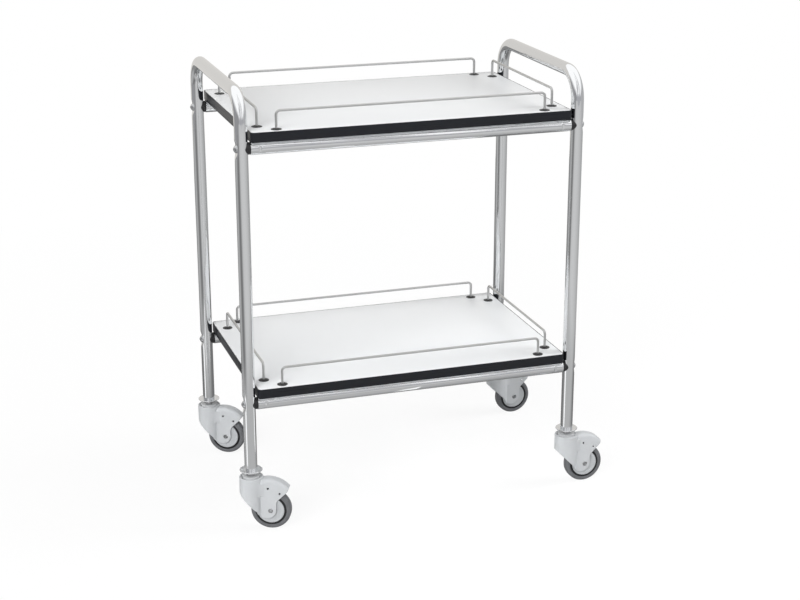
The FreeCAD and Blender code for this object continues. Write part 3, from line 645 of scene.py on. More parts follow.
GROMMET_RADIUS = 0.01025
GROMMET_HEIGHT = 0.0024
GROMMET_RIM = 0.0006
GROMMET_SEAT = 0.0006
GROMMET_BORE = 0.00255
GROMMET_MOUTH = 0.0006
GROMMET_MOUTH_DEPTH = 0.0005
GROMMET_DOME = (0.0, 0.15, 0.35, 0.6, 0.85)
GROMMET_STEPS = 40
SHANK_RADIUS = 0.0045
LEG_PLACES = [(0.268, 0.194), (0.297, 0.161)]


def upright(piece):
    """Turn a piece that was spun about X so that its +X points up."""
    pick(piece)
    piece.rotation_euler = (0, -math.pi / 2, 0)
    bpy.ops.object.transform_apply(location=True, rotation=True, scale=True)


for level in ("upper", "lower"):
    node = level + "_gallery_grommets"
    low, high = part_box(node)
    face_z = high.z - GROMMET_HEIGHT
    shank_depth = face_z - low.z
    profile = [
        (GROMMET_BORE, -shank_depth),
        (SHANK_RADIUS, -shank_depth),
        (SHANK_RADIUS, -GROMMET_SEAT),
        (GROMMET_RADIUS, -GROMMET_SEAT),
    ]
    for share in GROMMET_DOME:
        rise = GROMMET_RIM + (GROMMET_HEIGHT - GROMMET_RIM) * math.sin(share * math.pi / 2)
        reach = GROMMET_RADIUS - (GROMMET_RADIUS - GROMMET_BORE) * share
        profile.append((reach, rise))
    profile.append((GROMMET_BORE + GROMMET_MOUTH, GROMMET_HEIGHT))
    profile.append((GROMMET_BORE, GROMMET_HEIGHT - GROMMET_MOUTH_DEPTH))
    grommet = spin_profile(level + "_grommet", profile, GROMMET_STEPS, closed=True)
    upright(grommet)
    close_up(grommet, angle=50.0)
    give(grommet, black_plastic)
    matrices = []
    for across, depth in LEG_PLACES:
        for way_x, way_y in ((-1, -1), (1, -1), (-1, 1), (1, 1)):
            matrices.append(Matrix.Translation((across * way_x, depth * way_y, face_z)))
    grommets = copies_at(grommet, level + "_grommets", matrices)
    stand_for(grommets, "frame", "black_plastic", node)


# Castor discs and stems. A thin bright disc closes each post's foot, and below it the stem's collar
# goes down into the castor's turret.

DISC_RADIUS = 0.0225
DISC_EDGE = 0.0006
DISC_BORE = 0.00555
DISC_STEPS = 72
DISC_PLATE = (0.78, 0.79, 0.80, 1.0)
# The stem's colour is set lighter than its dark steel: painted light that lifts the shade in the gap
# between the disc and the turret.
STEM_STEEL_PAINTED_LIGHT = (0.60, 0.60, 0.61, 1.0)
LATHE_RINGS = (60.0, 60.0, 2400.0)

disc_low, disc_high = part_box("castor_discs")
disc_profile = [
    (DISC_BORE, disc_low.z),
    (DISC_RADIUS - DISC_EDGE, disc_low.z),
    (DISC_RADIUS, disc_low.z + DISC_EDGE),
    (DISC_RADIUS, disc_high.z - DISC_EDGE),
    (DISC_RADIUS - DISC_EDGE, disc_high.z),
    (DISC_BORE, disc_high.z),
]
disc = spin_profile("disc", disc_profile, DISC_STEPS, closed=True)
upright(disc)
close_up(disc)
disc_plate = make_finish(
    "zinc_disc",
    DISC_PLATE,
    haze=(120.0, 3.0),
    roughness=(0.16, 0.26),
    grain=(600.0, 3.0, 0.05, 0.0002),
    metal=1.0,
)
give(disc, disc_plate)
discs = copies_at(disc, "discs", [Matrix.Translation((across, depth, 0)) for across, depth in POSTS])
stand_for(discs, "frame", "zinc_steel", "castor_discs")

stem_steel = make_finish(
    "dark_steel",
    STEM_STEEL_PAINTED_LIGHT,
    haze=(1.0, 3.0),
    roughness=(0.38, 0.52),
    grain=(1.0, 3.0, 0.12, 0.0003),
    metal=0.7,
    stretch=LATHE_RINGS,
)
give(frame["nodes"]["castor_stems"], stem_steel)


# Castor housings. Light grey moulded plastic: a round turret that runs down into a skirt, two cheeks
# beside the wheel and a hood over it. The mould leaves every edge soft.

TURRET_RADIUS = 0.02375
TURRET_TOP = 0.1078
TURRET_EDGE = 0.001
TURRET_STEPS = 96
EDGE_SHARE = 0.3
RECESS_RADIUS = 0.02025
RECESS_FLOOR = 0.1066
SEAT_RADIUS = 0.017
SEAT_FLOOR = 0.0863
FOOT_ROOM_RADIUS = 0.010
FOOT_ROOM_FLOOR = 0.0810
MOULD_OVERLAP = 0.004
CHEEK_FACE = 0.0133
NECK_FACE = 0.0130
CREASE_ROUND = 0.005
BOSS_ROUND = 0.030
BOSS_BOTTOM = 0.071
BOSS_TOP = 0.097
NECK_BEND_STEPS = 16
HOOD_CENTRE = (0.0346, 0.0522)
HOOD_RADIUS = 0.0542
HOOD_ROUND = 0.0075
HOOD_INNER = 0.050
BEAK_X = 0.0758
LIP = (0.0724, 0.0804)
LIP_FLAT = 0.0002
LEG_CENTRE = (0.0315, 0.0421)
LEG_RADIUS = 0.0192
LEG_REAR_TOP = 0.0528
LEAN_ROUND = 0.015
LEAN_STEPS = 10
SKIRT_LEVEL = 0.0512
WELL_HALF = 0.0109
WELL_RADIUS = 0.0442
WELL_START = 0.02695
WELL_SIDES = 128
HOLLOW_MARGIN = 0.00005
AXLE_HOLE_RADIUS = 0.00405
PIN_HOLE_RADIUS = 0.0021
HOLE_SIDES = 48
PIN_HOLES = [(0.0347, 0.0870), (0.0577, 0.0768)]
ALONG_Y = (math.pi / 2, 0.0, 0.0)
HOUSING_GRAIN = 0.0007
HOUSING_GREY = (0.48, 0.494, 0.508, 1.0)
CORNERS = ("front_left", "front_right", "rear_left", "rear_right")
HEADINGS = {}
SWIVEL_AXES = {}
AXLES = {}
for joint in frame["joints"]:
    for corner in CORNERS:
        if joint["name"] == corner + "_wheel_spin":
            HEADINGS[corner] = math.atan2(-joint["axis"][0], joint["axis"][1])
            AXLES[corner] = Vector(joint["pos_m"])
        if joint["name"] == corner + "_swivel":
            SWIVEL_AXES[corner] = Vector((joint["pos_m"][0], joint["pos_m"][1], 0))
AXLE_HEIGHT = AXLES["front_left"].z
TRAIL = (AXLES["front_left"] - SWIVEL_AXES["front_left"]).to_2d().length


def arc(centre, radius, first, last, steps=32):
    """Points round a centre from one direction to another, in degrees."""
    points = []
    for step in range(steps + 1):
        turn = math.radians(first + (last - first) * step / steps)
        points.append((centre[0] + radius * math.cos(turn), centre[1] + radius * math.sin(turn)))
    return points


def hood_direction(across, radius):
    """Which way the hood's round top lies from its centre at a place across, in degrees."""
    return math.degrees(math.acos((across - HOOD_CENTRE[0]) / radius))


def draw_plate(name, points, way):
    """A filled outline, extruded one way."""
    let_go()
    bpy.ops.mesh.primitive_circle_add(vertices=len(points), fill_type="NGON")
    plate = bpy.context.object
    plate.name = name
    for corner_point, point in zip(plate.data.vertices, points):
        corner_point.co = point
    edit_all(plate)
    bpy.ops.mesh.extrude_region_move(TRANSFORM_OT_translate={"value": way})
    bpy.ops.mesh.select_all(action="SELECT")
    bpy.ops.mesh.normals_make_consistent(inside=False)
    let_go()
    return plate


def side_plate(name, outline, half):
    """An outline seen from the wheel's side, as thick as twice a half."""
    return draw_plate(name, [(across, -half, height) for across, height in outline], (0, half * 2, 0))


def neck_plan(bend, low, high):
    """The turret's circle from above, running into the two cheeks with a hollow bend on each side."""
    bend_y = NECK_FACE + bend
    bend_x = math.sqrt((TURRET_RADIUS + bend) ** 2 - bend_y**2)
    lean = math.degrees(math.atan2(bend_y, bend_x))
    plan = arc((bend_x, bend_y), bend, -90, lean - 180, NECK_BEND_STEPS)
    plan += arc((0, 0), TURRET_RADIUS, lean, 360 - lean, TURRET_STEPS)[1:-1]
    plan += arc((bend_x, -bend_y), bend, 180 - lean, 90, NECK_BEND_STEPS)
    return draw_plate("neck", [(across, depth, low) for across, depth in plan], (0, 0, high - low))


def is_hood_edge(start, end):
    """Whether an edge runs along a side of the hood's round top."""
    gaps = [abs(math.dist((point.x, point.z), HOOD_CENTRE) - HOOD_RADIUS) for point in (start, end)]
    return abs(start.y - end.y) < IN_LINE and max(gaps) < IN_LINE


skirt_off = (LEG_CENTRE[0] + LEG_CENTRE[1] - SKIRT_LEVEL) / math.sqrt(2)
skirt_turn = -135 - math.degrees(math.acos(skirt_off / LEG_RADIUS))
lean_centre = (LEG_CENTRE[0] + LEG_RADIUS + LEAN_ROUND, LEG_REAR_TOP)
cheek_outline = [(0.0, SKIRT_LEVEL)]
cheek_outline += arc(LEG_CENTRE, LEG_RADIUS, skirt_turn, 0)
cheek_outline += arc(lean_centre, LEAN_ROUND, 180, 135, LEAN_STEPS)
cheek_outline.append(LIP)
hood_turns = (hood_direction(BEAK_X, HOOD_RADIUS), hood_direction(0.0, HOOD_RADIUS))
cheek_outline += arc(HOOD_CENTRE, HOOD_RADIUS, *hood_turns)
skirt_reach = TURRET_RADIUS * 2
skirt_outline = [(-skirt_reach, SKIRT_LEVEL + skirt_reach), (-skirt_reach, 0.0), (LEG_CENTRE[0], 0.0)]
skirt_outline += arc(LEG_CENTRE, LEG_RADIUS, -90, skirt_turn)
hollow_end = BEAK_X + TURRET_RADIUS
hollow_lip = (LIP[0] - LIP_FLAT, LIP[1] - LIP_FLAT * 2)
hollow_outline = [(WELL_START, AXLE_HEIGHT), (hollow_end, AXLE_HEIGHT)]
hollow_outline += [(hollow_end, hollow_lip[1]), hollow_lip]
hollow_turns = (hood_direction(hollow_lip[0], HOOD_INNER), hood_direction(WELL_START, HOOD_INNER))
hollow_outline += arc(HOOD_CENTRE, HOOD_INNER, *hollow_turns)
turret_profile = [
    (0.0, BOSS_TOP - MOULD_OVERLAP),
    (TURRET_RADIUS, BOSS_TOP - MOULD_OVERLAP),
    (TURRET_RADIUS, TURRET_TOP - TURRET_EDGE),
    (TURRET_RADIUS - TURRET_EDGE * EDGE_SHARE, TURRET_TOP - TURRET_EDGE * EDGE_SHARE),
    (TURRET_RADIUS - TURRET_EDGE, TURRET_TOP),
    (0.0, TURRET_TOP),
]
seat_profile = [
    (0.0, TURRET_TOP + TURRET_EDGE),
    (RECESS_RADIUS, TURRET_TOP + TURRET_EDGE),
    (RECESS_RADIUS, RECESS_FLOOR),
    (SEAT_RADIUS, RECESS_FLOOR),
    (SEAT_RADIUS, SEAT_FLOOR),
    (FOOT_ROOM_RADIUS, SEAT_FLOOR),
    (FOOT_ROOM_RADIUS, FOOT_ROOM_FLOOR),
    (0.0, FOOT_ROOM_FLOOR),
]

castor_grey = make_finish(
    "castor_grey",
    HOUSING_GREY,
    haze=(160.0, 3.0),
    roughness=(0.36, 0.48),
    grain=(2200.0, 2.0, 0.10, 0.0002),
    tint=(30.0, 3.0, 0.98, 1.02),
)
neck = neck_plan(CREASE_ROUND, 0.0, BOSS_BOTTOM + MOULD_OVERLAP)
boss = neck_plan(BOSS_ROUND, BOSS_BOTTOM, BOSS_TOP)
turret = spin_profile("turret", turret_profile, TURRET_STEPS)
upright(turret)
cheeks = side_plate("cheeks", cheek_outline, CHEEK_FACE)
select_edges(cheeks, is_hood_edge)
bpy.ops.mesh.bevel(offset=HOOD_ROUND, segments=8, affect="EDGES")
let_go()
cut_out([neck, boss], side_plate("skirt", skirt_outline, TURRET_RADIUS * 2))
seat = spin_profile("seat", seat_profile)
upright(seat)
cut_out([neck, boss, turret, cheeks], seat)
well = round_bar("well", WELL_RADIUS, WELL_HALF * 2, (TRAIL, 0, AXLE_HEIGHT), ALONG_Y, WELL_SIDES)
cut_out([neck, boss, cheeks], well)
cut_out([boss, cheeks], side_plate("hollow", hollow_outline, WELL_HALF + HOLLOW_MARGIN))
HOUSING_HOLES = [(TRAIL, AXLE_HEIGHT, AXLE_HOLE_RADIUS)]
HOUSING_HOLES += [(across, height, PIN_HOLE_RADIUS) for across, height in PIN_HOLES]
for across, height, radius in HOUSING_HOLES:
    cut_out([cheeks], round_bar("drill", radius, CHEEK_FACE * 4, (across, 0, height), ALONG_Y, HOLE_SIDES))
housing = join_pieces([neck, boss, turret, cheeks], "housing")
housing.data.remesh_voxel_size = HOUSING_GRAIN
housing.data.use_remesh_preserve_volume = False
pick(housing)
bpy.ops.object.voxel_remesh()
finish_with(housing, "SMOOTH", factor=0.5, iterations=6)
pick(housing)
bpy.ops.object.shade_smooth()
give(housing, castor_grey)
for corner in CORNERS:
    matrix = Matrix.Translation(SWIVEL_AXES[corner]) @ Matrix.Rotation(HEADINGS[corner], 4, "Z")
    copy = copy_to(housing, corner + "_housing", matrix)
    stand_for(copy, corner + "_castor", "castor_grey", corner + "_castor_housing")
remove(housing)


# Swivel bearings and wheel bushes. Plain rings of natural acetal: one in each turret round the stem,
# and one in each wheel on the axle.

BEARING_RADIUS = 0.01695
BEARING_BORE = 0.00655
BEARING_EDGE = 0.0009
MOUTH_SHARE = 0.5
# The acetal's grey is partly its own colour and partly painted light: it is set lighter than the housing's
# grey to lift the shade that the disc casts on the bearing's top.
ACETAL_AND_PAINTED_LIGHT = (0.52, 0.53, 0.54, 1.0)

acetal = make_finish(
    "bush_plastic",
    ACETAL_AND_PAINTED_LIGHT,
    haze=(200.0, 3.0),
    roughness=(0.30, 0.44),
    grain=(1400.0, 2.0, 0.08, 0.0002),
    tint=(60.0, 3.0, 0.96, 1.02),
)
seat_low, seat_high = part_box("front_left_swivel_bearing")
bearing_profile = [
    (BEARING_BORE, seat_low.z),
    (BEARING_RADIUS, seat_low.z),
    (BEARING_RADIUS, seat_high.z - BEARING_EDGE),
    (BEARING_RADIUS - BEARING_EDGE * EDGE_SHARE, seat_high.z - BEARING_EDGE * EDGE_SHARE),
    (BEARING_RADIUS - BEARING_EDGE, seat_high.z),
    (BEARING_BORE + BEARING_EDGE, seat_high.z),
    (BEARING_BORE, seat_high.z - BEARING_EDGE * MOUTH_SHARE),
]
bearing = spin_profile("bearing", bearing_profile, closed=True)
upright(bearing)
close_up(bearing)
give(bearing, acetal)
for corner in CORNERS:
    copy = copy_to(bearing, corner + "_bearing", Matrix.Translation(SWIVEL_AXES[corner]))
    stand_for(copy, corner + "_castor", "bush_plastic", corner + "_swivel_bearing")
    give(frame["nodes"][corner + "_wheel_bush"], acetal)
remove(bearing)


# Wheels. A black plastic core carries a grey rubber tyre with rounded shoulders, and a light grey
# cover snaps into each side. The axle is a steel pin whose ends are riveted over the cheeks.

TYRE_GREY = (0.120, 0.123, 0.130, 1.0)
# The covers are the housing's grey plastic, set darker than HOUSING_GREY: painted shade for where they sit
# between the cheeks.
COVER_GREY_PAINTED_SHADE = (0.42, 0.434, 0.448, 1.0)
CORE_BLACK = (0.010, 0.010, 0.011, 1.0)
WHEEL_STEPS = 96
TYRE_RADIUS = 0.040
TYRE_HALF = 0.010
TYRE_SHOULDER = 0.0053
SHOULDER_STEPS = 6
TYRE_BEAD = 0.0022
TYRE_BEAD_BREAK = (0.0010, 0.0002)
RIM_RADIUS = 0.03125
RIM_HALF = 0.0091
RIM_INNER = 0.02645
RIM_EDGE = 0.0004
COVER_RADIUS = 0.02675
COVER_FACE = 0.0103
COVER_EDGE = 0.0006
COVER_RING = (0.0040, 0.0048)
COVER_DISH = 0.0005
COVER_HUB = 0.0010
BUSH_RADIUS = 0.0068
HUB_RADIUS = 0.01175
WEB_HALF = 0.0032
AXLE_RADIUS = 0.004
AXLE_STEPS = 48
AXLE_HEAD_RADIUS = 0.0051
AXLE_HEAD_EDGE = (0.0008, 0.0007)
AXLE_END = 0.0146
RIVET_HOLLOW = 0.0012
RIVET_RADII = (0.0022, 0.0027, 0.0031)
RIVET_LIP = 0.0001


def both_ways(half):
    """A half section continued by its mirror image on the other side of the wheel."""
    return half + [(radius, -place) for radius, place in reversed(half)]


tyre_corner = (TYRE_RADIUS - TYRE_SHOULDER, TYRE_HALF - TYRE_SHOULDER)
tyre_half = [
    (RIM_RADIUS, RIM_HALF),
    (RIM_RADIUS + TYRE_BEAD_BREAK[0], TYRE_HALF - TYRE_BEAD_BREAK[1]),
    (RIM_RADIUS + TYRE_BEAD, TYRE_HALF),
]
tyre_half += arc(tyre_corner, TYRE_SHOULDER, 90, 0, SHOULDER_STEPS)
core_half = [
    (BUSH_RADIUS, RIM_HALF),
    (HUB_RADIUS, RIM_HALF),
    (HUB_RADIUS, WEB_HALF),
    (RIM_INNER, WEB_HALF),
    (RIM_INNER, RIM_HALF),
    (RIM_RADIUS - RIM_EDGE, RIM_HALF),
    (RIM_RADIUS, RIM_HALF - RIM_EDGE),
]
cover_half = [
    (BUSH_RADIUS, RIM_HALF),
    (COVER_RADIUS, RIM_HALF),
    (COVER_RADIUS, COVER_FACE - COVER_EDGE),
    (COVER_RADIUS - COVER_EDGE, COVER_FACE),
    (COVER_RADIUS - COVER_RING[0], COVER_FACE),
    (COVER_RADIUS - COVER_RING[1], COVER_FACE - COVER_DISH),
    (HUB_RADIUS + COVER_HUB, COVER_FACE - COVER_DISH),
    (HUB_RADIUS, COVER_FACE),
    (BUSH_RADIUS, COVER_FACE),
]
axle_half = [
    (0.0, AXLE_END - RIVET_HOLLOW),
    (RIVET_RADII[0], AXLE_END - RIVET_HOLLOW),
    (RIVET_RADII[1], AXLE_END - RIVET_LIP),
    (RIVET_RADII[2], AXLE_END),
    (AXLE_HEAD_RADIUS - AXLE_HEAD_EDGE[0], AXLE_END),
    (AXLE_HEAD_RADIUS, AXLE_END - AXLE_HEAD_EDGE[1]),
    (AXLE_HEAD_RADIUS, CHEEK_FACE),
    (AXLE_RADIUS, CHEEK_FACE),
]


def lay_across(piece):
    """Turn a piece that was spun about X so that it lies on the castor's Y axis."""
    pick(piece)
    piece.rotation_euler = (0, 0, math.pi / 2)
    bpy.ops.object.transform_apply(location=True, rotation=True, scale=True)


rubber = make_finish(
    "tyre_grey",
    TYRE_GREY,
    haze=(90.0, 4.0),
    roughness=(0.55, 0.70),
    grain=(1600.0, 2.0, 0.20, 0.0002),
    tint=(90.0, 4.0, 0.88, 1.10),
)
core_black = make_finish(
    "wheel_black",
    CORE_BLACK,
    haze=(220.0, 3.0),
    roughness=(0.34, 0.48),
    grain=(2400.0, 2.0, 0.12, 0.0002),
)
cover_grey_painted_shade = make_finish(
    "cover_grey_painted_shade",
    COVER_GREY_PAINTED_SHADE,
    haze=(200.0, 3.0),
    roughness=(0.32, 0.44),
    grain=(2200.0, 2.0, 0.10, 0.0002),
    tint=(40.0, 3.0, 0.98, 1.02),
)
tyre = spin_profile("tyre", both_ways(tyre_half), WHEEL_STEPS, closed=True)
core = spin_profile("core", both_ways(core_half), WHEEL_STEPS, closed=True)
near_cover = spin_profile("near_cover", cover_half, WHEEL_STEPS, closed=True)
cover_other_half = [(radius, -place) for radius, place in cover_half]
far_cover = spin_profile("far_cover", cover_other_half, WHEEL_STEPS, closed=True)
covers = join_pieces([near_cover, far_cover], "covers")
axle = spin_profile("axle", both_ways(axle_half), AXLE_STEPS)
WHEEL_PATTERNS = [
    (tyre, rubber, "tyre_grey", "wheel", "tyre"),
    (core, core_black, "wheel_black", "wheel", "wheel_core"),
    (covers, cover_grey_painted_shade, "castor_grey", "wheel", "wheel_covers"),
    (axle, zinc, "zinc_steel", "castor", "wheel_axle"),
]
for pattern, finish, slot, body, node in WHEEL_PATTERNS:
    lay_across(pattern)
    close_up(pattern, angle=30.0)
    give(pattern, finish)
    for corner in CORNERS:
        matrix = Matrix.Translation(AXLES[corner]) @ Matrix.Rotation(HEADINGS[corner], 4, "Z")
        copy = copy_to(pattern, f"{corner}_{node}_piece", matrix)
        stand_for(copy, f"{corner}_{body}", slot, f"{corner}_{node}")
    remove(pattern)


# Hidden hardware. Threaded inserts in the rail ends, screws from the rails up into the boards, and
# the sockets that hold the castor stems in the posts' feet.

for node in ("rail_inserts", "upper_shelf_screws", "lower_shelf_screws"):
    give(frame["nodes"][node], zinc)
give(frame["nodes"]["castor_sockets"], black_plastic)


# Floor. A wide white studio floor that keeps a faint shadow of the cart close to it, and runs out
# into the white background further off.

FLOOR_REACH = 14.0
FLOOR_WHITE = (0.92, 0.92, 0.92, 1.0)
FLOOR_ROUGHNESS = 0.9
FLOOR_GLOW = 0.86
SHADOW_REACH = 2.2


def combine(nodes, links, operation, first, second):
    """One value made of two."""
    node = nodes.new("ShaderNodeMath")
    node.operation = operation
    links.new(first, node.inputs[0])
    links.new(second, node.inputs[1])
    return node.outputs["Value"]


def seen_white(nodes, links):
    """One for a ray from the camera, a mirror or a pane, and nothing for a ray of plain light."""
    rays = nodes.new("ShaderNodeLightPath")
    glossy = rays.outputs["Is Glossy Ray"]
    mirrored = combine(nodes, links, "MAXIMUM", glossy, rays.outputs["Is Transmission Ray"])
    return combine(nodes, links, "MAXIMUM", rays.outputs["Is Camera Ray"], mirrored)


def distance_from_middle(nodes, links, places):
    """How far a point is from the origin."""
    distance = nodes.new("ShaderNodeVectorMath")
    distance.operation = "LENGTH"
    links.new(places.outputs["Object"], distance.inputs[0])
    return distance.outputs["Value"]


def make_floor_finish():
    """White with the cart's shadow for the camera and in mirrors, and a plain white floor for light."""
    material, nodes, links, shader, places = new_finish("studio_floor")
    shader.inputs["Base Color"].default_value = FLOOR_WHITE
    shader.inputs["Roughness"].default_value = FLOOR_ROUGHNESS
    shader.inputs["Specular IOR Level"].default_value = 0.0
    glow = nodes.new("ShaderNodeEmission")
    glow.inputs["Color"].default_value = (1.0, 1.0, 1.0, 1.0)
    glow.inputs["Strength"].default_value = 1.0
    fade = ranged_from(nodes, (0.0, SHADOW_REACH), (FLOOR_GLOW, 1.0))
    links.new(distance_from_middle(nodes, links, places), fade.inputs["Value"])
    share = combine(nodes, links, "MULTIPLY", seen_white(nodes, links), fade.outputs["Result"])
    mix = nodes.new("ShaderNodeMixShader")
    links.new(share, mix.inputs["Fac"])
    links.new(shader.outputs["BSDF"], mix.inputs[1])
    links.new(glow.outputs["Emission"], mix.inputs[2])
    links.new(mix.outputs["Shader"], nodes["Material Output"].inputs["Surface"])
    return material


let_go()
bpy.ops.mesh.primitive_plane_add(size=FLOOR_REACH * 2, location=(0, 0, 0))
floor = settle("studio_floor")
give(floor, make_floor_finish())


# Studio. Grey paper on the floor, grey walls round the cart and a small white card by three feet, which
# only shiny surfaces see, as in any studio for polished metal. They glow, lit by no lamp: their painted
# greys and whites are painted reflections that give the chrome its light and dark.

PAPER_REACH = 4.5
PAPER_LIFT = 0.002
PAPER_GREYS = [
    # direction from the cart in degrees from +X, brightness
    (-180, 0.34),
    (-168, 0.22),
    (-158, 0.19),
    (-148, 0.29),
    (-138, 0.46),
    (-128, 0.62),
    (-115, 0.66),
    (-85, 0.68),
    (-48, 0.62),
    (-20, 0.53),
    (18, 0.42),
    (50, 0.34),
    (90, 0.26),
    (130, 0.30),
    (150, 0.50),
    (165, 0.48),
    (180, 0.34),
]
CARD_DISTANCE = 0.30
CARD_DIRECTION = -166.0
CARD_WIDTH = 0.12
CARD_HEIGHT = 0.16
# Near the cart the paper's glow runs from light in front of it to dark under and behind it: painted shade,
# seen only in reflections.
PAPER_DEPTH_WAY = (0.313, 0.950, 0.0)
PAPER_NEAR_DEPTH = (-0.36, 0.06)
PAPER_NEAR_PAINTED_SHADE = (0.52, 0.20)
PAPER_FADE = (0.95, 1.35)
WALL_HEIGHT = 40.0
# The walls' tops and the cards glow brighter than white: painted highlights, seen only in reflections.
PAINTED_HIGHLIGHT_WHITE = 1.2
STREAK_SCALE = 2.6
STREAK_STRETCH = 0.06
STREAK_DETAIL = 1.5
STREAK_RANGE = (0.40, 0.52)
WALLS = {
    # name: (one end, other end, colour, height where it begins to turn white, height where it is white)
    "back_wall": ((-3.4, 2.7), (3.6, 2.7), (0.75, 0.73, 0.70), 2.9, 3.1),
    "front_wall": ((-3.4, -4.4), (3.6, -4.4), (0.46, 0.46, 0.48), 1.0, 2.0),
    "left_wall": ((-3.4, -4.4), (-3.4, 2.7), (0.34, 0.34, 0.35), 1.6, 3.0),
    "right_wall": ((3.6, -4.4), (3.6, 2.7), (0.50, 0.50, 0.51), 1.6, 3.0),
}


def show_in_reflections(piece):
    """Let a piece of the studio show in shiny surfaces alone."""
    piece.visible_camera = False
    piece.visible_diffuse = False
    piece.visible_transmission = False
    piece.visible_volume_scatter = False
    piece.visible_shadow = False


def glowing(name):
    """A material that glows with one brightness from everywhere, lit by no lamp."""
    material, nodes, links, shader, places = new_finish(name)
    glow = nodes.new("ShaderNodeEmission")
    glow.inputs["Strength"].default_value = 1.0
    links.new(glow.outputs["Emission"], nodes["Material Output"].inputs["Surface"])
    return material, nodes, links, glow, places


def set_stops(ramp, greys):
    """Give a colour ramp its stops, as (place, grey) from low to high."""
    stops = ramp.color_ramp.elements
    for number, (place, grey) in enumerate(greys):
        stop = stops[number] if number < 2 else stops.new(place)
        stop.position = place
        stop.color = (grey, grey, grey, 1.0)


def make_painted_reflection_paper():
    """Glowing grey paper lit by no lamp: painted reflections, lighter and darker round the cart."""
    material, nodes, links, glow, places = glowing("studio_paper")
    around = nodes.new("ShaderNodeTexGradient")
    around.gradient_type = "RADIAL"
    links.new(places.outputs["Object"], around.inputs["Vector"])
    ramp = nodes.new("ShaderNodeValToRGB")
    set_stops(ramp, [(direction / 360 + 0.5, grey) for direction, grey in PAPER_GREYS])
    links.new(around.outputs["Fac"], ramp.inputs["Fac"])
    fade = ranged_from(nodes, PAPER_FADE)
    links.new(distance_from_middle(nodes, links, places), fade.inputs["Value"])
    depth = nodes.new("ShaderNodeVectorMath")
    depth.operation = "DOT_PRODUCT"
    depth.inputs[1].default_value = PAPER_DEPTH_WAY
    links.new(places.outputs["Object"], depth.inputs[0])
    near_painted_shade = ranged_from(nodes, PAPER_NEAR_DEPTH, PAPER_NEAR_PAINTED_SHADE)
    links.new(depth.outputs["Value"], near_painted_shade.inputs["Value"])
    mix = nodes.new("ShaderNodeMix")
    mix.data_type = "RGBA"
    links.new(fade.outputs["Result"], mix.inputs["Factor"])
    links.new(near_painted_shade.outputs["Result"], mix.inputs["A"])
    links.new(ramp.outputs["Color"], mix.inputs["B"])
    links.new(mix.outputs["Result"], glow.inputs["Color"])
    return material


def paint_highlight_streaks(nodes, links, places, fade, mix):
    """A painted highlight: a white glow high on a wall, broken into uneven upright streaks."""
    stretch = nodes.new("ShaderNodeMapping")
    stretch.inputs["Scale"].default_value = (STREAK_SCALE, STREAK_SCALE, STREAK_SCALE * STREAK_STRETCH)
    links.new(places.outputs["Object"], stretch.inputs["Vector"])
    streaks = nodes.new("ShaderNodeTexNoise")
    streaks.inputs["Scale"].default_value = 1.0
    streaks.inputs["Detail"].default_value = STREAK_DETAIL
    links.new(stretch.outputs["Vector"], streaks.inputs["Vector"])
    edges = ranged_from(nodes, STREAK_RANGE)
    links.new(streaks.outputs["Fac"], edges.inputs["Value"])
    share = combine(nodes, links, "MULTIPLY", fade.outputs["Result"], edges.outputs["Result"])
    links.new(share, mix.inputs["Factor"])


def make_wall_finish(name, colour, white_from):
    """One glowing colour below, and above it a painted highlight of white glow brighter than white."""
    material, nodes, links, glow, places = glowing(name)
    height = nodes.new("ShaderNodeSeparateXYZ")
    links.new(places.outputs["Object"], height.inputs["Vector"])
    fade = ranged_from(nodes, white_from)
    links.new(height.outputs["Z"], fade.inputs["Value"])
    mix = nodes.new("ShaderNodeMix")
    mix.data_type = "RGBA"
    mix.inputs["A"].default_value = (*colour, 1.0)
    mix.inputs["B"].default_value = (PAINTED_HIGHLIGHT_WHITE, PAINTED_HIGHLIGHT_WHITE, PAINTED_HIGHLIGHT_WHITE, 1.0)
    links.new(fade.outputs["Result"], mix.inputs["Factor"])
    links.new(mix.outputs["Result"], glow.inputs["Color"])
    if name == "front_wall":
        paint_highlight_streaks(nodes, links, places, fade, mix)
    return material


def hang_panel(name, width, height, place, heading):
    """An upright panel with the middle of its foot at a place."""
    let_go()
    bpy.ops.mesh.primitive_plane_add(size=1.0, location=(0, 0, 0))
    panel = bpy.context.object
    panel.scale = (width, height, 1.0)
    panel.rotation_euler = (math.pi / 2, 0, heading)
    panel.location = (place[0], place[1], place[2] + height / 2)
    return settle(name)


let_go()
bpy.ops.mesh.primitive_plane_add(size=PAPER_REACH * 2, location=(0, 0, PAPER_LIFT))
paper = settle("studio_paper")
give(paper, make_painted_reflection_paper())
show_in_reflections(paper)

for wall_name, (one_end, other_end, colour, *white_from) in WALLS.items():
    run = Vector(other_end) - Vector(one_end)
    middle = (Vector(one_end) + Vector(other_end)) / 2
    wall = hang_panel(wall_name, run.length, WALL_HEIGHT, (*middle, 0.0), math.atan2(run.y, run.x))
    give(wall, make_wall_finish(wall_name, colour, white_from))
    show_in_reflections(wall)

# The cards glow brighter than white though they are no lamps: painted highlights on the posts' feet, seen
# only in reflections.
card_white, _, _, card_glow, _ = glowing("studio_card")
card_glow.inputs["Strength"].default_value = PAINTED_HIGHLIGHT_WHITE
card_turn = math.radians(CARD_DIRECTION)
for number, (across, depth) in enumerate(POSTS[:3]):
    card_x = across + CARD_DISTANCE * math.cos(card_turn)
    card_y = depth + CARD_DISTANCE * math.sin(card_turn)
    card_foot = (card_x, card_y, PAPER_LIFT)
    card = hang_panel(f"studio_card_{number}", CARD_WIDTH, CARD_HEIGHT, card_foot, card_turn + math.pi / 2)
    give(card, card_white)
    show_in_reflections(card)


# Light. A large softbox high at the front left, weaker ones behind, above and at each side, and even
# light from a white room.

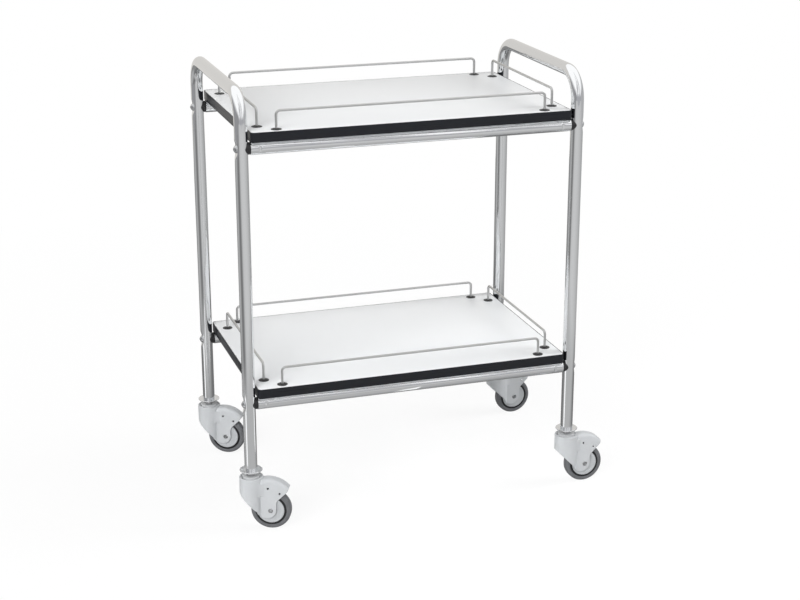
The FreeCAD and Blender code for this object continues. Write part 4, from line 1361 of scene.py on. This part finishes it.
ROOM_LIGHT = 0.25
SOFTBOXES = {
    # name: (place, the point it is aimed at, size, power)
    "front_softbox": ((-5.3, -5.2, 4.6), (0.0, 0.0, 0.3), 4.5, 630.0),
    "rear_softbox": ((1.2, 4.6, 1.0), (0.0, 0.0, 0.4), 1.6, 60.0),
    "top_softbox": ((0.8, -0.6, 3.4), (0.4, 0.0, 0.8), 1.6, 12.0),
    "left_softbox": ((-3.2, 0.2, 2.2), (0.0, 0.0, 0.3), 1.8, 10.0),
    "right_softbox": ((3.2, -0.6, 2.4), (0.0, 0.0, 0.3), 1.8, 90.0),
}


def hang_softbox(name, place, target, size, power):
    """A square softbox aimed at a point, which isn't mirrored in the chrome."""
    let_go()
    bpy.ops.object.light_add(type="AREA", location=place)
    lamp = bpy.context.object
    lamp.name = name
    lamp.data.shape = "SQUARE"
    lamp.data.size = size
    lamp.data.energy = power
    lamp.visible_glossy = False
    aim = Vector(target) - Vector(place)
    lamp.rotation_euler = aim.to_track_quat("-Z", "Y").to_euler()


for softbox, settings in SOFTBOXES.items():
    hang_softbox(softbox, *settings)

world = bpy.data.worlds.new("white_room")
world.use_nodes = True
bpy.context.scene.world = world
room_nodes = world.node_tree.nodes
room_links = world.node_tree.links
background = room_nodes["Background"]
background.inputs["Color"].default_value = (1.0, 1.0, 1.0, 1.0)
brightness = ranged_from(room_nodes, (0.0, 1.0), (ROOM_LIGHT, 1.0))
room_links.new(seen_white(room_nodes, room_links), brightness.inputs["Value"])
room_links.new(brightness.outputs["Result"], background.inputs["Strength"])


# Camera. At the photograph's place: in front of the cart, to its left and above the upper shelf, some
# three metres off, with a long lens.

CAMERA_PLACE = (-0.9944, -3.1263, 1.4718)
CAMERA_TILT = 71.493
CAMERA_HEADING = -18.25
CAMERA_LENS = 74.85
CAMERA_SENSOR = 36.0

let_go()
bpy.ops.object.camera_add(location=CAMERA_PLACE)
camera = bpy.context.object
camera.rotation_euler = (math.radians(CAMERA_TILT), 0.0, math.radians(CAMERA_HEADING))
camera.data.lens = CAMERA_LENS
camera.data.sensor_width = CAMERA_SENSOR
bpy.context.scene.camera = camera
bpy.context.scene.view_settings.view_transform = "Standard"
